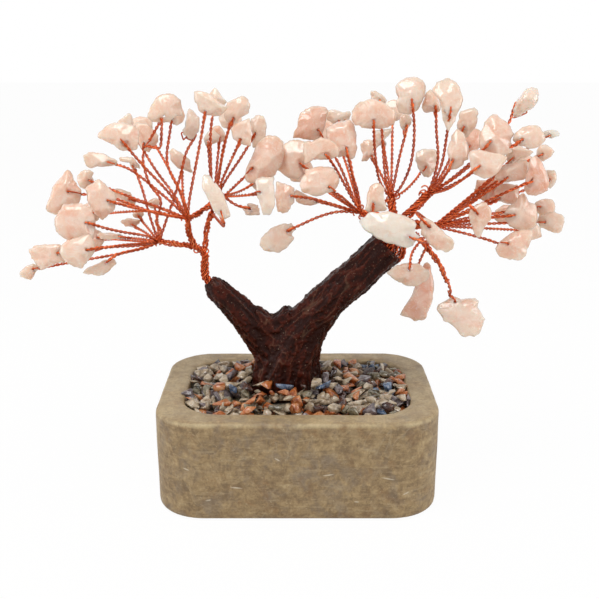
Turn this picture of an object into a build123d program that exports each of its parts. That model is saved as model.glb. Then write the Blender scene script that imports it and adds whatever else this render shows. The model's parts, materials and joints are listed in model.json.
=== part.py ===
from build123d import *
import math
import os
import random

import numpy as np

os.makedirs("parts", exist_ok=True)

# Stone pot: one block of honed stone with a shallow pocket
pot_width = 88.0
pot_depth = 64.5
pot_height = 31.9
pot_corner = 15.0
pot_draw_in = 0.2              # each side stands this much further in at the foot
pot_foot_round = 1.8
pot_rim_round = 0.9
rim_width = 8.3
pocket_depth = 19.0
pocket_corner = 12.5

# Plaster bed and the gravel that is glued on it
casting_gap = 0.05
gravel_size = 3.7              # across an average stone
gravel_gap = 0.25              # least gap between two stones
gravel_lift_share = 0.35       # how much the heights of the stones differ
GRAVEL_SHARES = {"clear_quartz": 0.34, "carnelian": 0.20, "amethyst": 0.17,
                 "garnet": 0.11, "sodalite": 0.08, "moss_agate": 0.10}

# Tree: its places are the pixels they are seen at, with a depth behind the middle plane
tree_span = 170.0              # from the leftmost chip to the rightmost
crown_depth = 50.0             # what the depth shares below are shares of
EYE_SHARES = (0.0039, -1.6824, 0.6576)   # the eye from the middle of the rim, of tree_span
EYE_PITCH = 16.1
LENS_PIXELS = 929.0
PICTURE_MIDDLE_PIXEL = 299.5

# Bark
bark_ridge_share = 0.07        # height of a ridge, of the radius of the limb there
BARK_SIDES = 14
root_depth = 3.0               # how deep the bark stands in the plaster
core_depth = 9.0               # how deep the wire cores stand in the plaster
core_gap = 0.1                 # between a wire core and its channel
left_core_radius = 1.4
right_core_radius = 3.4

# Copper wire
wire_diameter = 0.4
twig_diameter = 0.85           # two wires twisted together
joint_gap = 0.1                # between a twig and the bundle that it leaves
bend_gap = 0.35                # under the ball that the left neck bends on
bend_ball_radius = 1.7

# Rose quartz chips
chip_thickness_share = 0.30    # of the mean of length and width
chip_least_thickness = 3.2
chip_most_thickness = 5.6
chip_gap = 0.45                # least gap between two chips
bore_diameter = 1.0
bore_inset = 2.3               # from the edge of the chip to the middle of its bore
loop_gap = 1.7                 # from the edge of the chip to the end of the twist
loop_clearance = 0.3           # between a loop and the faces of its chip
twig_clearance = 0.45          # between a twig and what it passes
cut_overrun = 4.0

rng = random.Random(11)
pitch = math.radians(EYE_PITCH)
ACROSS = np.array((1.0, 0.0, 0.0))
SIGHT_UP = np.array((0.0, math.sin(pitch), math.cos(pitch)))
TOWARD = np.array((0.0, -math.cos(pitch), math.sin(pitch)))
eye = tree_span * np.array(EYE_SHARES) + np.array((0, 0, pot_height))


def ray(u, v):
    """The direction, not a unit one, in which pixel u, v is seen."""
    right = (u - PICTURE_MIDDLE_PIXEL) / LENS_PIXELS
    rise = (PICTURE_MIDDLE_PIXEL - v) / LENS_PIXELS
    return ACROSS * right + SIGHT_UP * rise - TOWARD


def seen(u, v, depth):
    """The place at a depth behind the middle plane that is seen at pixel u, v."""
    direction = ray(u, v)
    return eye + direction * ((depth - eye[1]) / direction[1])


def pixel_size(u, v, depth):
    direction = ray(u, v)
    return (depth - eye[1]) / direction[1] / LENS_PIXELS


def unit(vector):
    return vector / np.linalg.norm(vector)


def to_vector(point):
    return Vector(*(float(value) for value in point))


def skin(rings):
    """A closed solid through rings of points, each with as many points."""
    count = len(rings[0])
    faces = [Face(Wire.make_polygon([to_vector(p) for p in rings[0]][::-1])),
             Face(Wire.make_polygon([to_vector(p) for p in rings[-1]]))]
    for low, high in zip(rings, rings[1:]):
        for i in range(count):
            j = (i + 1) % count
            corners = [low[i], low[j], high[j], high[i]]
            normal = np.cross(low[j] - low[i], high[i] - low[i])
            off = abs(np.dot(unit(normal), high[j] - low[i]))
            if off < 1e-6 * np.linalg.norm(high[j] - low[i]):
                faces.append(Face(Wire.make_polygon([to_vector(p) for p in corners])))
            else:
                faces.append(Face(Wire.make_polygon([to_vector(corners[k]) for k in (0, 1, 2)])))
                faces.append(Face(Wire.make_polygon([to_vector(corners[k]) for k in (0, 2, 3)])))
    solid = Solid(Shell(faces))
    return solid if solid.volume > 0 else -solid


def smooth_path(points, largest=40.0):
    """Straight runs joined by tangent arcs, as large as the runs allow."""
    kept = [np.array(points[0], float)]
    for i in range(1, len(points) - 1):
        before = np.array(points[i]) - kept[-1]
        after = np.array(points[i + 1]) - np.array(points[i])
        if np.linalg.norm(before) < twig_diameter or np.linalg.norm(after) < twig_diameter:
            continue
        turn = math.degrees(math.acos(max(-1.0, min(1.0, np.dot(unit(before), unit(after))))))
        if turn > 2.0:
            kept.append(np.array(points[i], float))
    kept.append(np.array(points[-1], float))
    if len(kept) == 2:
        return Edge.make_line(to_vector(kept[0]), to_vector(kept[1]))
    radii = []
    for a, b, c in zip(kept, kept[1:], kept[2:]):
        turn = math.acos(max(-1.0, min(1.0, np.dot(unit(b - a), unit(c - b)))))
        shorter = min(np.linalg.norm(b - a), np.linalg.norm(c - b))
        radii.append(min(0.45 * shorter / math.tan(turn / 2), largest * twig_diameter))
    return FilletPolyline(*[to_vector(p) for p in kept], radius=radii)


def rod(points, radius):
    """A round rod along a smooth path."""
    path = smooth_path(points)
    return sweep(Plane(path @ 0, z_dir=path % 0) * Circle(radius), path=path)


def ball(point, radius):
    return Pos(*(float(value) for value in point)) * Sphere(radius)


def one_solid(shape):
    """The single solid of a shape that was cut or fused."""
    solids = shape.solids()
    return max(solids, key=lambda solid: solid.volume)


def stone(centre, size, height, sides, turn):
    """A small angular stone that rests on a flat face."""
    rings = []
    for level, scale in ((0.0, 0.62), (0.4, 1.0), (1.0, 0.5)):
        ring = []
        for i in range(sides):
            angle = turn + 2 * math.pi * i / sides
            ring.append(np.array(centre) + np.array((
                size / 2 * scale * math.cos(angle), size / 2 * scale * math.sin(angle), height * level)))
        rings.append(ring)
    return skin(rings)


# Limbs of the trunk: pixel of the middle line, radius in pixels, depth share
RIGHT_LIMB_PIXELS_AND_SHARES = ((388, 247, 18.0, 0.00), (372, 261, 18.0, 0.00), (356, 276, 18.0, 0.00),
                                (340, 289, 18.0, 0.01), (325, 303, 18.5, 0.02), (311, 319, 21.0, 0.04),
                                (298, 336, 25.5, 0.06), (288, 354, 31.0, 0.08), (285, 372, 33.0, 0.08),
                                (285, 390, 36.0, 0.08))
LEFT_LIMB_PIXELS_AND_SHARES = ((209, 281, 6.5, 0.00), (215, 287, 11.0, 0.00), (224, 296, 12.5, 0.00),
                               (236, 307, 13.5, 0.01), (247, 319, 14.5, 0.03), (258, 332, 16.5, 0.05),
                               (270, 348, 18.0, 0.07), (277, 366, 18.0, 0.08))
# Web of bark that fills the fork between the limbs
FORK_WEB_PIXELS_AND_SHARES = ((250, 316, 13.0, 0.02), (266, 325, 12.5, 0.04), (279, 325, 13.0, 0.04),
                              (294, 317, 14.0, 0.03))

# Bundles of copper: the pixels of their middle lines, with depth shares
LEFT_NECK_PIXELS_AND_SHARES = ((205, 266, 0.00), (204, 253, 0.00))
LEFT_STEM_PIXELS_AND_SHARES = {
    "low_hub": ((204, 253, 0.00), (195, 246, 0.00), (180, 244, 0.03), (159, 242, 0.05)),
    "fan_hub": ((195, 246, 0.00), (191, 239, -0.02), (188, 230, -0.04), (188, 219, -0.05)),
    "top_hub": ((204, 253, 0.00), (206, 243, 0.04), (206, 231, 0.10), (212, 213, 0.19)),
    "bridge_hub": ((188, 219, -0.05), (198, 214, 0.03), (210, 205, 0.09), (224, 196, 0.06)),
}
left_neck_radius = 1.45
left_stem_radius = 0.95
left_hub_radius = 1.5
RIGHT_STEM_PIXELS_AND_SHARES = {
    "main_hub": ((388, 247, 0.00), (392, 236, 0.00), (396, 225, 0.00)),
    "side_hub": ((396, 225, 0.00), (412, 224, -0.02), (434, 226, -0.06)),
    "slant_hub": ((396, 225, 0.00), (412, 211, 0.02), (428, 194, 0.04)),
    "crest_hub": ((396, 225, 0.00), (393, 213, 0.05), (391, 199, 0.10)),
    "reach_hub": ((396, 225, 0.00), (381, 217, -0.02), (361, 213, -0.04)),
    "droop_hub": ((396, 225, 0.00), (409, 229, -0.07), (418, 237, -0.17)),
}
right_main_radius = 2.6
right_stem_radius = 1.2
right_hub_radius = 1.6
DROOPING_PIXELS_AND_SHARES = ((421, 240, -0.20), (429, 249, -0.24), (440, 266, -0.25), (448, 282, -0.24))
drooping_radius = 0.75
drooping_ball_radius = 1.0

# Chips: middle, length and width in pixels, turn of the length in degrees, depth share, shape, the hub
# of the twig, and the pixels that the twig passes. A chip marked "side" is drilled across the picture.
LEFT_FAN_PIXELS_AND_SHARES = {
    "fan_01": (62, 192, 48, 30, 67, 0.02, "lens", "fan_hub", (150, 212), (110, 196)),
    "fan_02": (86, 179, 20, 18, 60, 0.26, "block", "fan_hub", (150, 204), (125, 195), (108, 188)),
    "fan_03": (101, 200, 44, 32, -72, -0.16, "round", "fan_hub", (160, 214), (136, 208)),
    "fan_04": (124, 199, 28, 18, -25, 0.22, "lens", "fan_hub", (158, 206),),
    "fan_10": (99, 160, 36, 17, -12, 0.16, "drop", "fan_hub", (175, 205), (145, 180), (130, 168)),
    "fan_11": (118, 135, 44, 30, 25, -0.08, "block", "fan_hub", (170, 193), (142, 165)),
    "fan_12": (126, 124, 20, 18, 60, 0.26, "round", "fan_hub", (175, 195), (155, 170), (143, 149)),
    "fan_18": (176, 113, 26, 18, -75, 0.10, "lens", "fan_hub", (187, 205), (176, 183), (165, 165),
               (167, 148)),
    "fan_31": (88, 214, 26, 22, 30, 0.46, "block", "fan_hub", (150, 210), (120, 212)),
    "fan_32": (141, 126, 26, 20, 20, 0.50, "round", "fan_hub", (180, 190), (160, 152)),
    "fan_20": (182, 162, 36, 16, -45, 0.32, "lens", "fan_hub", (183, 197)),
    "fan_21": (207, 105, 36, 26, -35, -0.08, "block", "fan_hub", (188, 205), (193, 180), (199, 150)),
}
LEFT_LOW_PIXELS_AND_SHARES = {
    "low_05": (75, 220, 46, 40, 40, -0.20, "round", "low_hub", (150, 236), (120, 232)),
    "low_06": (80, 252, 36, 30, 80, -0.28, "block", "low_hub", (142, 244), (120, 245)),
    "low_07": (46, 254, 42, 20, 0, -0.04, "lens", "low_hub", (140, 246), (100, 247)),
    "low_13": (146, 137, 30, 26, -50, 0.06, "block", "low_hub", (155, 225), (148, 180), (142, 162)),
    "low_14": (132, 163, 28, 13, -18, 0.28, "lens", "low_hub", (150, 218), (142, 186)),
    "low_15": (129, 224, 22, 9, -5, 0.34, "lens", "low_hub", (148, 234)),
    "low_16": (110, 236, 34, 10, -5, 0.30, "lens", "low_hub", (146, 239)),
    "low_17": (162, 108, 32, 28, 60, -0.06, "round", "low_hub", (162, 228), (163, 200), (161, 150)),
    "low_19": (190, 124, 34, 18, 85, 0.16, "side", "low_hub", (168, 215), (177, 190), (184, 160)),
    "low_31": (92, 238, 26, 20, -20, 0.48, "round", "low_hub", (140, 241)),
    "low_29": (154, 203, 14, 10, 20, 0.38, "block", "low_hub", (158, 222)),
    "low_30": (138, 214, 12, 9, 20, 0.40, "block", "low_hub", (150, 230)),
}
LEFT_TOP_PIXELS_AND_SHARES = {
    "top_22": (216, 97, 24, 20, 60, 0.10, "block", "top_hub", (211, 172), (210, 130)),
    "top_23": (238, 111, 32, 28, 45, 0.00, "round", "top_hub", (219, 178), (223, 145)),
    "top_24": (244, 134, 28, 24, 10, -0.12, "block", "top_hub", (220, 184), (231, 160)),
    "top_25": (259, 130, 30, 16, 80, 0.10, "lens", "top_hub", (221, 186), (241, 158)),
    "top_26": (208, 137, 20, 12, 70, 0.24, "lens", "top_hub", (211, 185)),
    "top_27": (219, 134, 18, 12, -60, 0.30, "block", "top_hub", (216, 178)),
    "top_31": (231, 119, 26, 22, 10, 0.44, "round", "top_hub", (219, 172)),
}
LEFT_BRIDGE_PIXELS_AND_SHARES = {
    "bridge_01": (264, 158, 44, 36, 60, -0.04, "round", "bridge_hub", (235, 186),),
    "bridge_03": (265, 192, 36, 20, 88, -0.24, "block", "bridge_hub", (238, 196),),
    "bridge_05": (257, 211, 32, 12, 0, 0.04, "lens", "bridge_hub", (233, 205),),
    "bridge_31": (261, 178, 26, 22, 40, 0.36, "block", "bridge_hub", (240, 192),),
}
RIGHT_REACH_PIXELS_AND_SHARES = {
    "reach_02": (291, 157, 40, 36, 20, -0.02, "block", "reach_hub", (340, 200), (318, 178)),
    "reach_04": (285, 196, 38, 24, 85, -0.12, "drop", "reach_hub", (338, 206), (312, 198)),
    "reach_06": (311, 124, 38, 34, 55, 0.08, "round", "reach_hub", (350, 190), (338, 160)),
    "reach_08": (343, 136, 46, 32, -75, -0.08, "block", "reach_hub", (358, 190), (350, 170)),
    "reach_09": (322, 148, 36, 30, 10, -0.16, "round", "reach_hub", (350, 195), (338, 172)),
    "reach_10": (318, 181, 44, 28, 5, -0.24, "block", "reach_hub", (348, 203),),
    "reach_11": (309, 199, 30, 14, -8, 0.08, "lens", "reach_hub", (338, 207),),
    "reach_12": (337, 118, 26, 18, -5, 0.20, "lens", "reach_hub", (355, 190), (350, 158)),
    "reach_31": (300, 170, 28, 22, 30, 0.34, "round", "reach_hub", (335, 197)),
    "reach_32": (328, 131, 26, 22, -30, 0.48, "block", "reach_hub", (352, 182), (344, 156)),
}
RIGHT_CREST_PIXELS_AND_SHARES = {
    "crest_01": (374, 113, 46, 30, -8, -0.12, "block", "crest_hub", (378, 182), (374, 145)),
    "crest_02": (378, 97, 20, 14, -40, 0.14, "block", "crest_hub", (385, 180), (382, 135)),
    "crest_03": (368, 152, 26, 14, -70, 0.28, "lens", "crest_hub", (386, 184),),
    "crest_04": (383, 139, 20, 14, 60, 0.20, "block", "crest_hub", (389, 180),),
    "crest_05": (411, 93, 36, 30, 80, 0.00, "round", "crest_hub", (400, 190), (412, 165), (415, 130)),
    "crest_08": (406, 122, 20, 14, 80, 0.14, "block", "crest_hub", (394, 185), (399, 158)),
    "crest_12": (428, 163, 28, 22, -30, 0.40, "lens", "crest_hub", (405, 192),),
    "crest_31": (393, 111, 28, 22, 20, 0.46, "round", "crest_hub", (392, 165),),
}
RIGHT_SLANT_PIXELS_AND_SHARES = {
    "slant_06": (434, 102, 24, 20, 60, 0.04, "block", "slant_hub", (440, 160), (436, 135)),
    "slant_07": (451, 98, 42, 26, -80, -0.08, "round", "slant_hub", (443, 165), (446, 138)),
    "slant_10": (468, 121, 30, 22, 70, 0.14, "block", "slant_hub", (446, 170), (455, 145)),
    "slant_11": (458, 150, 42, 22, 88, -0.16, "block", "slant_hub", (440, 185),),
    "slant_13": (495, 136, 44, 32, 85, -0.12, "block", "slant_hub", (445, 184), (472, 162)),
    "slant_14": (486, 163, 36, 30, 30, -0.26, "round", "slant_hub", (448, 190),),
    "slant_15": (527, 101, 33, 18, 50, 0.10, "side", "slant_hub", (450, 182), (490, 150), (505, 130)),
    "slant_31": (472, 141, 28, 22, 60, 0.42, "round", "slant_hub", (448, 172),),
    "slant_16": (529, 137, 34, 24, 10, -0.14, "round", "slant_hub", (452, 186), (495, 158)),
}
RIGHT_SIDE_PIXELS_AND_SHARES = {
    "side_17": (552, 134, 18, 9, -5, 0.20, "lens", "side_hub", (480, 190), (530, 146)),
    "side_18": (545, 153, 20, 16, -20, 0.08, "block", "side_hub", (482, 192), (525, 162)),
    "side_19": (518, 155, 30, 22, 30, -0.04, "round", "side_hub", (478, 190), (500, 170)),
    "side_20": (536, 179, 38, 25, -75, -0.16, "block", "side_hub", (480, 204), (515, 188)),
    "side_21": (552, 180, 20, 11, 85, 0.12, "lens", "side_hub", (484, 206), (535, 186)),
    "side_22": (488, 188, 28, 24, 10, 0.04, "block", "side_hub", (450, 218), (468, 204)),
    "side_23": (513, 173, 30, 26, 45, -0.10, "round", "side_hub", (470, 204), (495, 186)),
    "side_24": (507, 195, 34, 20, 20, -0.04, "block", "side_hub", (468, 212),),
    "side_25": (522, 214, 36, 30, 30, -0.16, "round", "side_hub", (470, 220),),
    "side_26": (545, 207, 22, 16, 10, 0.12, "block", "side_hub", (475, 216), (520, 210)),
    "side_27": (551, 222, 26, 19, -15, 0.00, "block", "side_hub", (480, 224), (525, 222)),
    "side_28": (515, 246, 42, 27, 55, -0.24, "round", "side_hub", (460, 232), (490, 240)),
    "side_31": (522, 166, 28, 22, 20, 0.40, "block", "side_hub", (475, 201),),
    "side_32": (506, 214, 26, 20, 20, 0.42, "round", "side_hub", (468, 222),),
    "side_33": (530, 231, 24, 20, 10, 0.32, "block", "side_hub", (475, 228),),
}
FREE_PIXELS_AND_SHARES = {
    "chip_far_left": (29, 270, 27, 14, 28, 0.04, "lens", "low_hub", (130, 252), (66, 263)),
    "chip_low_left": (100, 267, 36, 15, 20, -0.12, "lens", "low_hub", (140, 251), (122, 251)),
    "chip_long": (216, 197, 50, 17, -65, -0.44, "pill", "top_hub", (224, 227)),
    "chip_drooping": (278, 237, 38, 24, 35, -0.12, "drop", "reach_hub", (338, 210), (312, 219)),
    "chip_white": (389, 230, 62, 30, -18, -0.48, "lens", "side_hub", (428, 243),),
    "chip_wedge": (375, 197, 30, 19, 88, -0.34, "drop", "reach_hub", (372, 224),),
    "chip_slanting": (438, 236, 44, 22, -42, -0.46, "pill", "side_hub", (414, 210),),
    "chip_teardrop": (480, 218, 34, 22, 85, -0.30, "drop", "side_hub", (450, 218), (468, 202)),
    "chip_under": (408, 275, 44, 24, -5, -0.17, "round", "side_hub", (424, 238, 0.02), (412, 250, -0.08)),
    "chip_hanging": (420, 294, 58, 27, 80, 0.02, "drop", "side_hub", (429, 241, 0.05), (421, 258, 0.04)),
    "chip_blocky": (461, 316, 46, 36, -25, -0.25, "block", "drooping",),
}

# What each shape is: how far its corners are filled out, its taper and its flat share
SHAPE_SHARES = {"round": (0.05, 0.0, 0.50), "block": (0.22, 0.08, 0.58), "lens": (-0.10, 0.0, 0.36),
                "drop": (0.04, -0.30, 0.42), "pill": (0.30, 0.0, 0.40), "side": (-0.02, -0.15, 0.45)}
RING_LEVEL_SHARES = (-1.0, -0.58, 0.06, 0.62, 1.0)


class Chip:
    """A tumbled chip: a convex block with a rounded outline and a drilled bore."""

    def __init__(self, name, row):
        self.name = name
        (self.u, self.v, self.long_px, self.wide_px, self.turn, self.depth_share, self.kind,
         self.hub) = row[:8]
        self.route = row[8:]
        fill, taper, flat = SHAPE_SHARES[self.kind]
        sides = rng.choice((7, 8, 8, 9))
        self.outline = []
        start = rng.uniform(0, 360)
        for i in range(sides):
            angle = math.radians(start + 360 * (i + rng.uniform(-0.16, 0.16)) / sides)
            reach = 1 + fill * math.sin(2 * angle) ** 2 + rng.uniform(-0.05, 0.05)
            a, b = reach * math.cos(angle), reach * math.sin(angle)
            self.outline.append((a, b * (1 + taper * a)))
        for axis in (0, 1):
            low = min(p[axis] for p in self.outline)
            high = max(p[axis] for p in self.outline)
            self.outline = [tuple((2 * (value - low) / (high - low) - 1) if k == axis else value
                                  for k, value in enumerate(p)) for p in self.outline]
        lift = rng.uniform(-0.08, 0.08)
        self.levels = [(RING_LEVEL_SHARES[0], flat), (RING_LEVEL_SHARES[1] + lift / 2, 0.86 + lift / 2),
                       (RING_LEVEL_SHARES[2] + lift, 1.0), (RING_LEVEL_SHARES[3] + lift / 2, 0.84),
                       (RING_LEVEL_SHARES[4], flat * 0.9)]
        self.tilt = rng.uniform(-14, 14)
        self.nod = rng.uniform(-14, 14)
        self.set_depth(crown_depth * self.depth_share)

    def set_depth(self, depth):
        self.depth = depth
        size = pixel_size(self.u, self.v, depth)
        self.centre = seen(self.u, self.v, depth)
        self.length = self.long_px * size
        self.width = self.wide_px * size
        mean = (self.length + self.width) / 2
        self.thickness = max(min(mean * chip_thickness_share * 1.35, chip_most_thickness),
                             min(chip_least_thickness, self.width * 0.8))
        if self.kind == "side":
            self.thickness, self.width = self.width * 0.8, self.width * 1.25
        sight = Plane(to_vector(self.centre), x_dir=to_vector(ACROSS), z_dir=to_vector(TOWARD))
        frame = sight * Rot(0, 0, self.turn) * Rot(self.tilt, self.nod * self.width / self.length, 0)
        if self.kind == "side":
            frame = frame * Rot(90, 0, 0)
        self.plane = Plane(frame)
        self.x_axis = np.array(tuple(self.plane.x_dir))
        self.y_axis = np.array(tuple(self.plane.y_dir))
        self.normal = np.array(tuple(self.plane.z_dir))
        self.rings = []
        for level, scale in self.levels:
            self.rings.append([self.centre + self.x_axis * (self.length / 2 * scale * a)
                               + self.y_axis * (self.width / 2 * scale * b)
                               + self.normal * (self.thickness / 2 * level) for a, b in self.outline])
        self.points = np.array([p for ring in self.rings for p in ring])
        self.reach = float(np.linalg.norm(self.points - self.centre, axis=1).max())
        self.find_faces()

    def find_faces(self):
        normals, offsets = [self.normal, -self.normal], []
        offsets = [float((self.points @ self.normal).max()), float((self.points @ -self.normal).max())]
        count = len(self.outline)
        for low, high in zip(self.rings, self.rings[1:]):
            for i in range(count):
                j = (i + 1) % count
                normal = unit(np.cross(low[j] - low[i], high[i] - low[i]))
                if np.dot(normal, low[i] - self.centre) < 0:
                    normal = -normal
                normals.append(normal)
                offsets.append(float((self.points @ normal).max()))
        self.normals = np.array(normals)
        self.offsets = np.array(offsets)

    def gap_to_point(self, point):
        """How far a point stands outside the chip, less than zero inside."""
        return float((self.normals @ point - self.offsets).max())

    def gaps_to_points(self, points):
        return (points @ self.normals.T - self.offsets).max(1)

    def edge_reach(self, direction):
        """From the middle to the edge of the outline, along a direction in the chip's plane."""
        low, high = 0.0, self.length + self.width
        for _ in range(40):
            middle = (low + high) / 2
            if self.gap_to_point(self.centre + direction * middle) > 0:
                high = middle
            else:
                low = middle
        return low

    def top_at(self, point, normal):
        """Height of the chip's face over a point of its middle plane."""
        low, high = 0.0, self.thickness
        for _ in range(40):
            middle = (low + high) / 2
            if self.gap_to_point(point + normal * middle) > 0:
                high = middle
            else:
                low = middle
        return low

    def drill_towards(self, point):
        """Sets the bore, and where the twist of its twig ends, on the side of the chip near a point."""
        offset = point - self.centre
        offset = offset - self.normal * np.dot(offset, self.normal)
        self.outward = unit(offset)
        edge = self.edge_reach(self.outward)
        self.inset = min(bore_inset, edge * 0.5)
        self.bore = self.centre + self.outward * (edge - self.inset)
        self.twist_end = self.centre + self.outward * (edge + loop_gap)

    def solid(self):
        body = skin(self.rings)
        drill = Plane(to_vector(self.bore), z_dir=to_vector(self.normal)) * Cylinder(
            bore_diameter / 2, self.thickness + cut_overrun)
        return one_solid(body - drill)


def separation(a, b):
    """The widest gap between two chips along any of their face directions."""
    best, best_axis = -1e9, None
    for normals in (a.normals, b.normals):
        first = a.points @ normals.T
        second = b.points @ normals.T
        gaps = np.maximum(second.min(0) - first.max(0), first.min(0) - second.max(0))
        k = int(gaps.argmax())
        if gaps[k] > best:
            best, best_axis = float(gaps[k]), normals[k]
    return best, best_axis


def settle(chips):
    """Moves chips that meet apart along the line of sight, so that the picture stays as it is."""
    for _ in range(60):
        meeting = 0
        for i, a in enumerate(chips):
            for b in chips[i + 1:]:
                if np.linalg.norm(a.centre - b.centre) > a.reach + b.reach + chip_gap:
                    continue
                gap, axis = separation(a, b)
                if gap >= chip_gap * 0.98:
                    continue
                meeting += 1
                step = min(max(chip_gap - gap, chip_gap * 0.2), 1.5 * chip_gap) * 0.6
                front, back = (a, b) if a.depth <= b.depth else (b, a)
                front.set_depth(front.depth - step)
                back.set_depth(back.depth + step)
        if not meeting:
            break
    return meeting


class Stem:
    """The middle line of a bundle, which the twigs keep clear of."""

    def __init__(self, points, radius):
        self.points, self.radius = points, radius


class Twig:
    """A twisted pair of wires from a hub to a chip, ending in a loop through the chip's bore."""

    def __init__(self, chip, hub_point, hub_radius):
        self.chip = chip
        self.radius = twig_diameter / 2
        self.hub_point = hub_point
        self.hub_reach = hub_radius + joint_gap
        last = chip.route[-1] if chip.route else None
        guide = seen(last[0], last[1], chip.depth) if last else hub_point
        chip.drill_towards(guide)
        end = chip.twist_end
        marks = [seen(mark[0], mark[1], 0) for mark in chip.route]
        chain = [hub_point] + marks + [end]
        runs = [0.0]
        for p, q in zip(chain, chain[1:]):
            runs.append(runs[-1] + np.linalg.norm((q - p)[[0, 2]]))
        self.points = [hub_point]
        for mark, run in zip(chip.route, runs[1:]):
            share = run / runs[-1]
            depth = hub_point[1] * (1 - share) + end[1] * share
            if len(mark) == 3:
                depth = mark[2] * crown_depth
            self.points.append(seen(mark[0], mark[1], depth))
        self.points.append(end)
        self.start_at_hub()

    def start_at_hub(self):
        self.points[0] = self.hub_point + unit(self.points[1] - self.hub_point) * self.hub_reach

    def samples(self):
        """Points along the twig, about as far apart as it is thick, and the run that each lies on."""
        runs, found = [], []
        for i, (p, q) in enumerate(zip(self.points, self.points[1:])):
            count = max(2, int(np.linalg.norm(q - p) / twig_diameter))
            for k in range(count + 1):
                runs.append(i)
                found.append(p + (q - p) * k / count)
        return runs, np.array(found)

    def loop_points(self, side):
        """One leg of the loop: out of the twist, past the edge of the chip and over its bore."""
        chip = self.chip
        normal = chip.normal * side
        lift = loop_clearance + wire_diameter / 2
        height = chip.top_at(chip.bore, normal) + lift
        step = chip.inset * 0.2
        slope = (chip.top_at(chip.bore + chip.outward * step, normal) + lift - height) / step
        at_edge = max(height + slope * chip.inset, lift)
        root = chip.twist_end + chip.outward * wire_diameter + normal * wire_diameter * 0.4
        return [root, chip.bore + chip.outward * chip.inset + normal * at_edge, chip.bore + normal * height]

    def solid(self):
        front = self.loop_points(1)
        back = self.loop_points(-1)
        loop_path = FilletPolyline(*[to_vector(p) for p in front + back[::-1]],
                                   radius=[wire_diameter, wire_diameter * 0.8,
                                           wire_diameter * 0.8, wire_diameter])
        loop = sweep(Plane(loop_path @ 0, z_dir=loop_path % 0) * Circle(wire_diameter / 2), path=loop_path)
        self.start_at_hub()
        return one_solid(rod(self.points, twig_diameter / 2) + loop)


def nearest_points(p, q, r, s):
    """The points of two runs, p to q and r to s, that are closest to each other."""
    steps = np.linspace(0, 1, 13)[:, None]
    points = p + (q - p) * steps
    shares = np.clip((points - r) @ (s - r) / max(np.dot(s - r, s - r), 1e-12), 0, 1)
    others = r + (s - r) * shares[:, None]
    k = int(np.linalg.norm(points - others, axis=1).argmin())
    return points[k], others[k]


def bend_round(twig, run, point, push):
    """Moves the twig along the line of sight where it would meet something."""
    moved = point + unit(point - eye) * push
    near = [k for k in (run, run + 1) if 0 < k < len(twig.points) - 1
            and np.linalg.norm(twig.points[k] - point) < 4 * twig_diameter]
    if near:
        k = min(near, key=lambda k: np.linalg.norm(twig.points[k] - point))
        twig.points[k] = twig.points[k] + unit(twig.points[k] - eye) * push
    elif min(np.linalg.norm(point - twig.points[run]), np.linalg.norm(point - twig.points[run + 1])) > (
            2 * twig_diameter):
        twig.points.insert(run + 1, moved)


def clear_of_chips(twigs, chips):
    """Bends the twigs that would run through a chip round it, in depth."""
    need = twig_diameter / 2 + twig_clearance
    for twig in twigs:
        for _ in range(14):
            runs, points = twig.samples()
            worst, place = 0.0, None
            for chip in chips:
                if chip is twig.chip:
                    continue
                near = np.linalg.norm(points - chip.centre, axis=1) < chip.reach + need
                if not near.any():
                    continue
                short = np.where(near, need - chip.gaps_to_points(points), 0.0)
                if short.max() > worst:
                    k = int(short.argmax())
                    worst, place = float(short[k]), (runs[k], points[k], chip)
            if not place:
                break
            run, point, chip = place
            sight = unit(point - eye)
            best = None
            for way in (1, -1):
                for k in range(1, 60):
                    push = way * k * 0.25 * twig_diameter
                    if chip.gap_to_point(point + sight * push) > need * 1.15:
                        if best is None or abs(push) < abs(best):
                            best = push
                        break
            bend_round(twig, run, point, best)
        else:
            print("still near a chip:", twig.chip.name, place[2].name, round(worst, 2))


def clear_of_twigs(pairs):
    """Bends twigs of different sprays apart, in depth, where they would cross."""
    met = 0
    for a, b in pairs:
        need = a.radius + b.radius + twig_clearance / 2
        low = np.maximum(np.min(a.points, axis=0), np.min(b.points, axis=0)) - need
        high = np.minimum(np.max(a.points, axis=0), np.max(b.points, axis=0)) + need
        if (low > high).any():
            continue
        for i in range(len(a.points) - 1):
            for j in range(len(b.points) - 1):
                point, other = nearest_points(a.points[i], a.points[i + 1], b.points[j], b.points[j + 1])
                close = float(np.linalg.norm(point - other))
                if close < need:
                    met += 1
                    way = 1 if point[1] >= other[1] else -1
                    bend_round(a, i, point, way * (need - close + 0.3 * twig_diameter))
    return met


# The chips find their depths first, and the twigs then find their ways between them
SPRAYS = {"left_fan": LEFT_FAN_PIXELS_AND_SHARES, "left_low": LEFT_LOW_PIXELS_AND_SHARES,
          "left_top": LEFT_TOP_PIXELS_AND_SHARES, "left_bridge": LEFT_BRIDGE_PIXELS_AND_SHARES,
          "right_reach": RIGHT_REACH_PIXELS_AND_SHARES, "right_crest": RIGHT_CREST_PIXELS_AND_SHARES,
          "right_slant": RIGHT_SLANT_PIXELS_AND_SHARES, "right_side": RIGHT_SIDE_PIXELS_AND_SHARES,
          "free": FREE_PIXELS_AND_SHARES}
sprays = {spray: [Chip(name, row) for name, row in rows.items()] for spray, rows in SPRAYS.items()}
all_chips = [chip for chips in sprays.values() for chip in chips]
print("chips still meeting:", settle(all_chips))


def stem_points(row):
    return [seen(u, v, crown_depth * share) for u, v, share in row]


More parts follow.
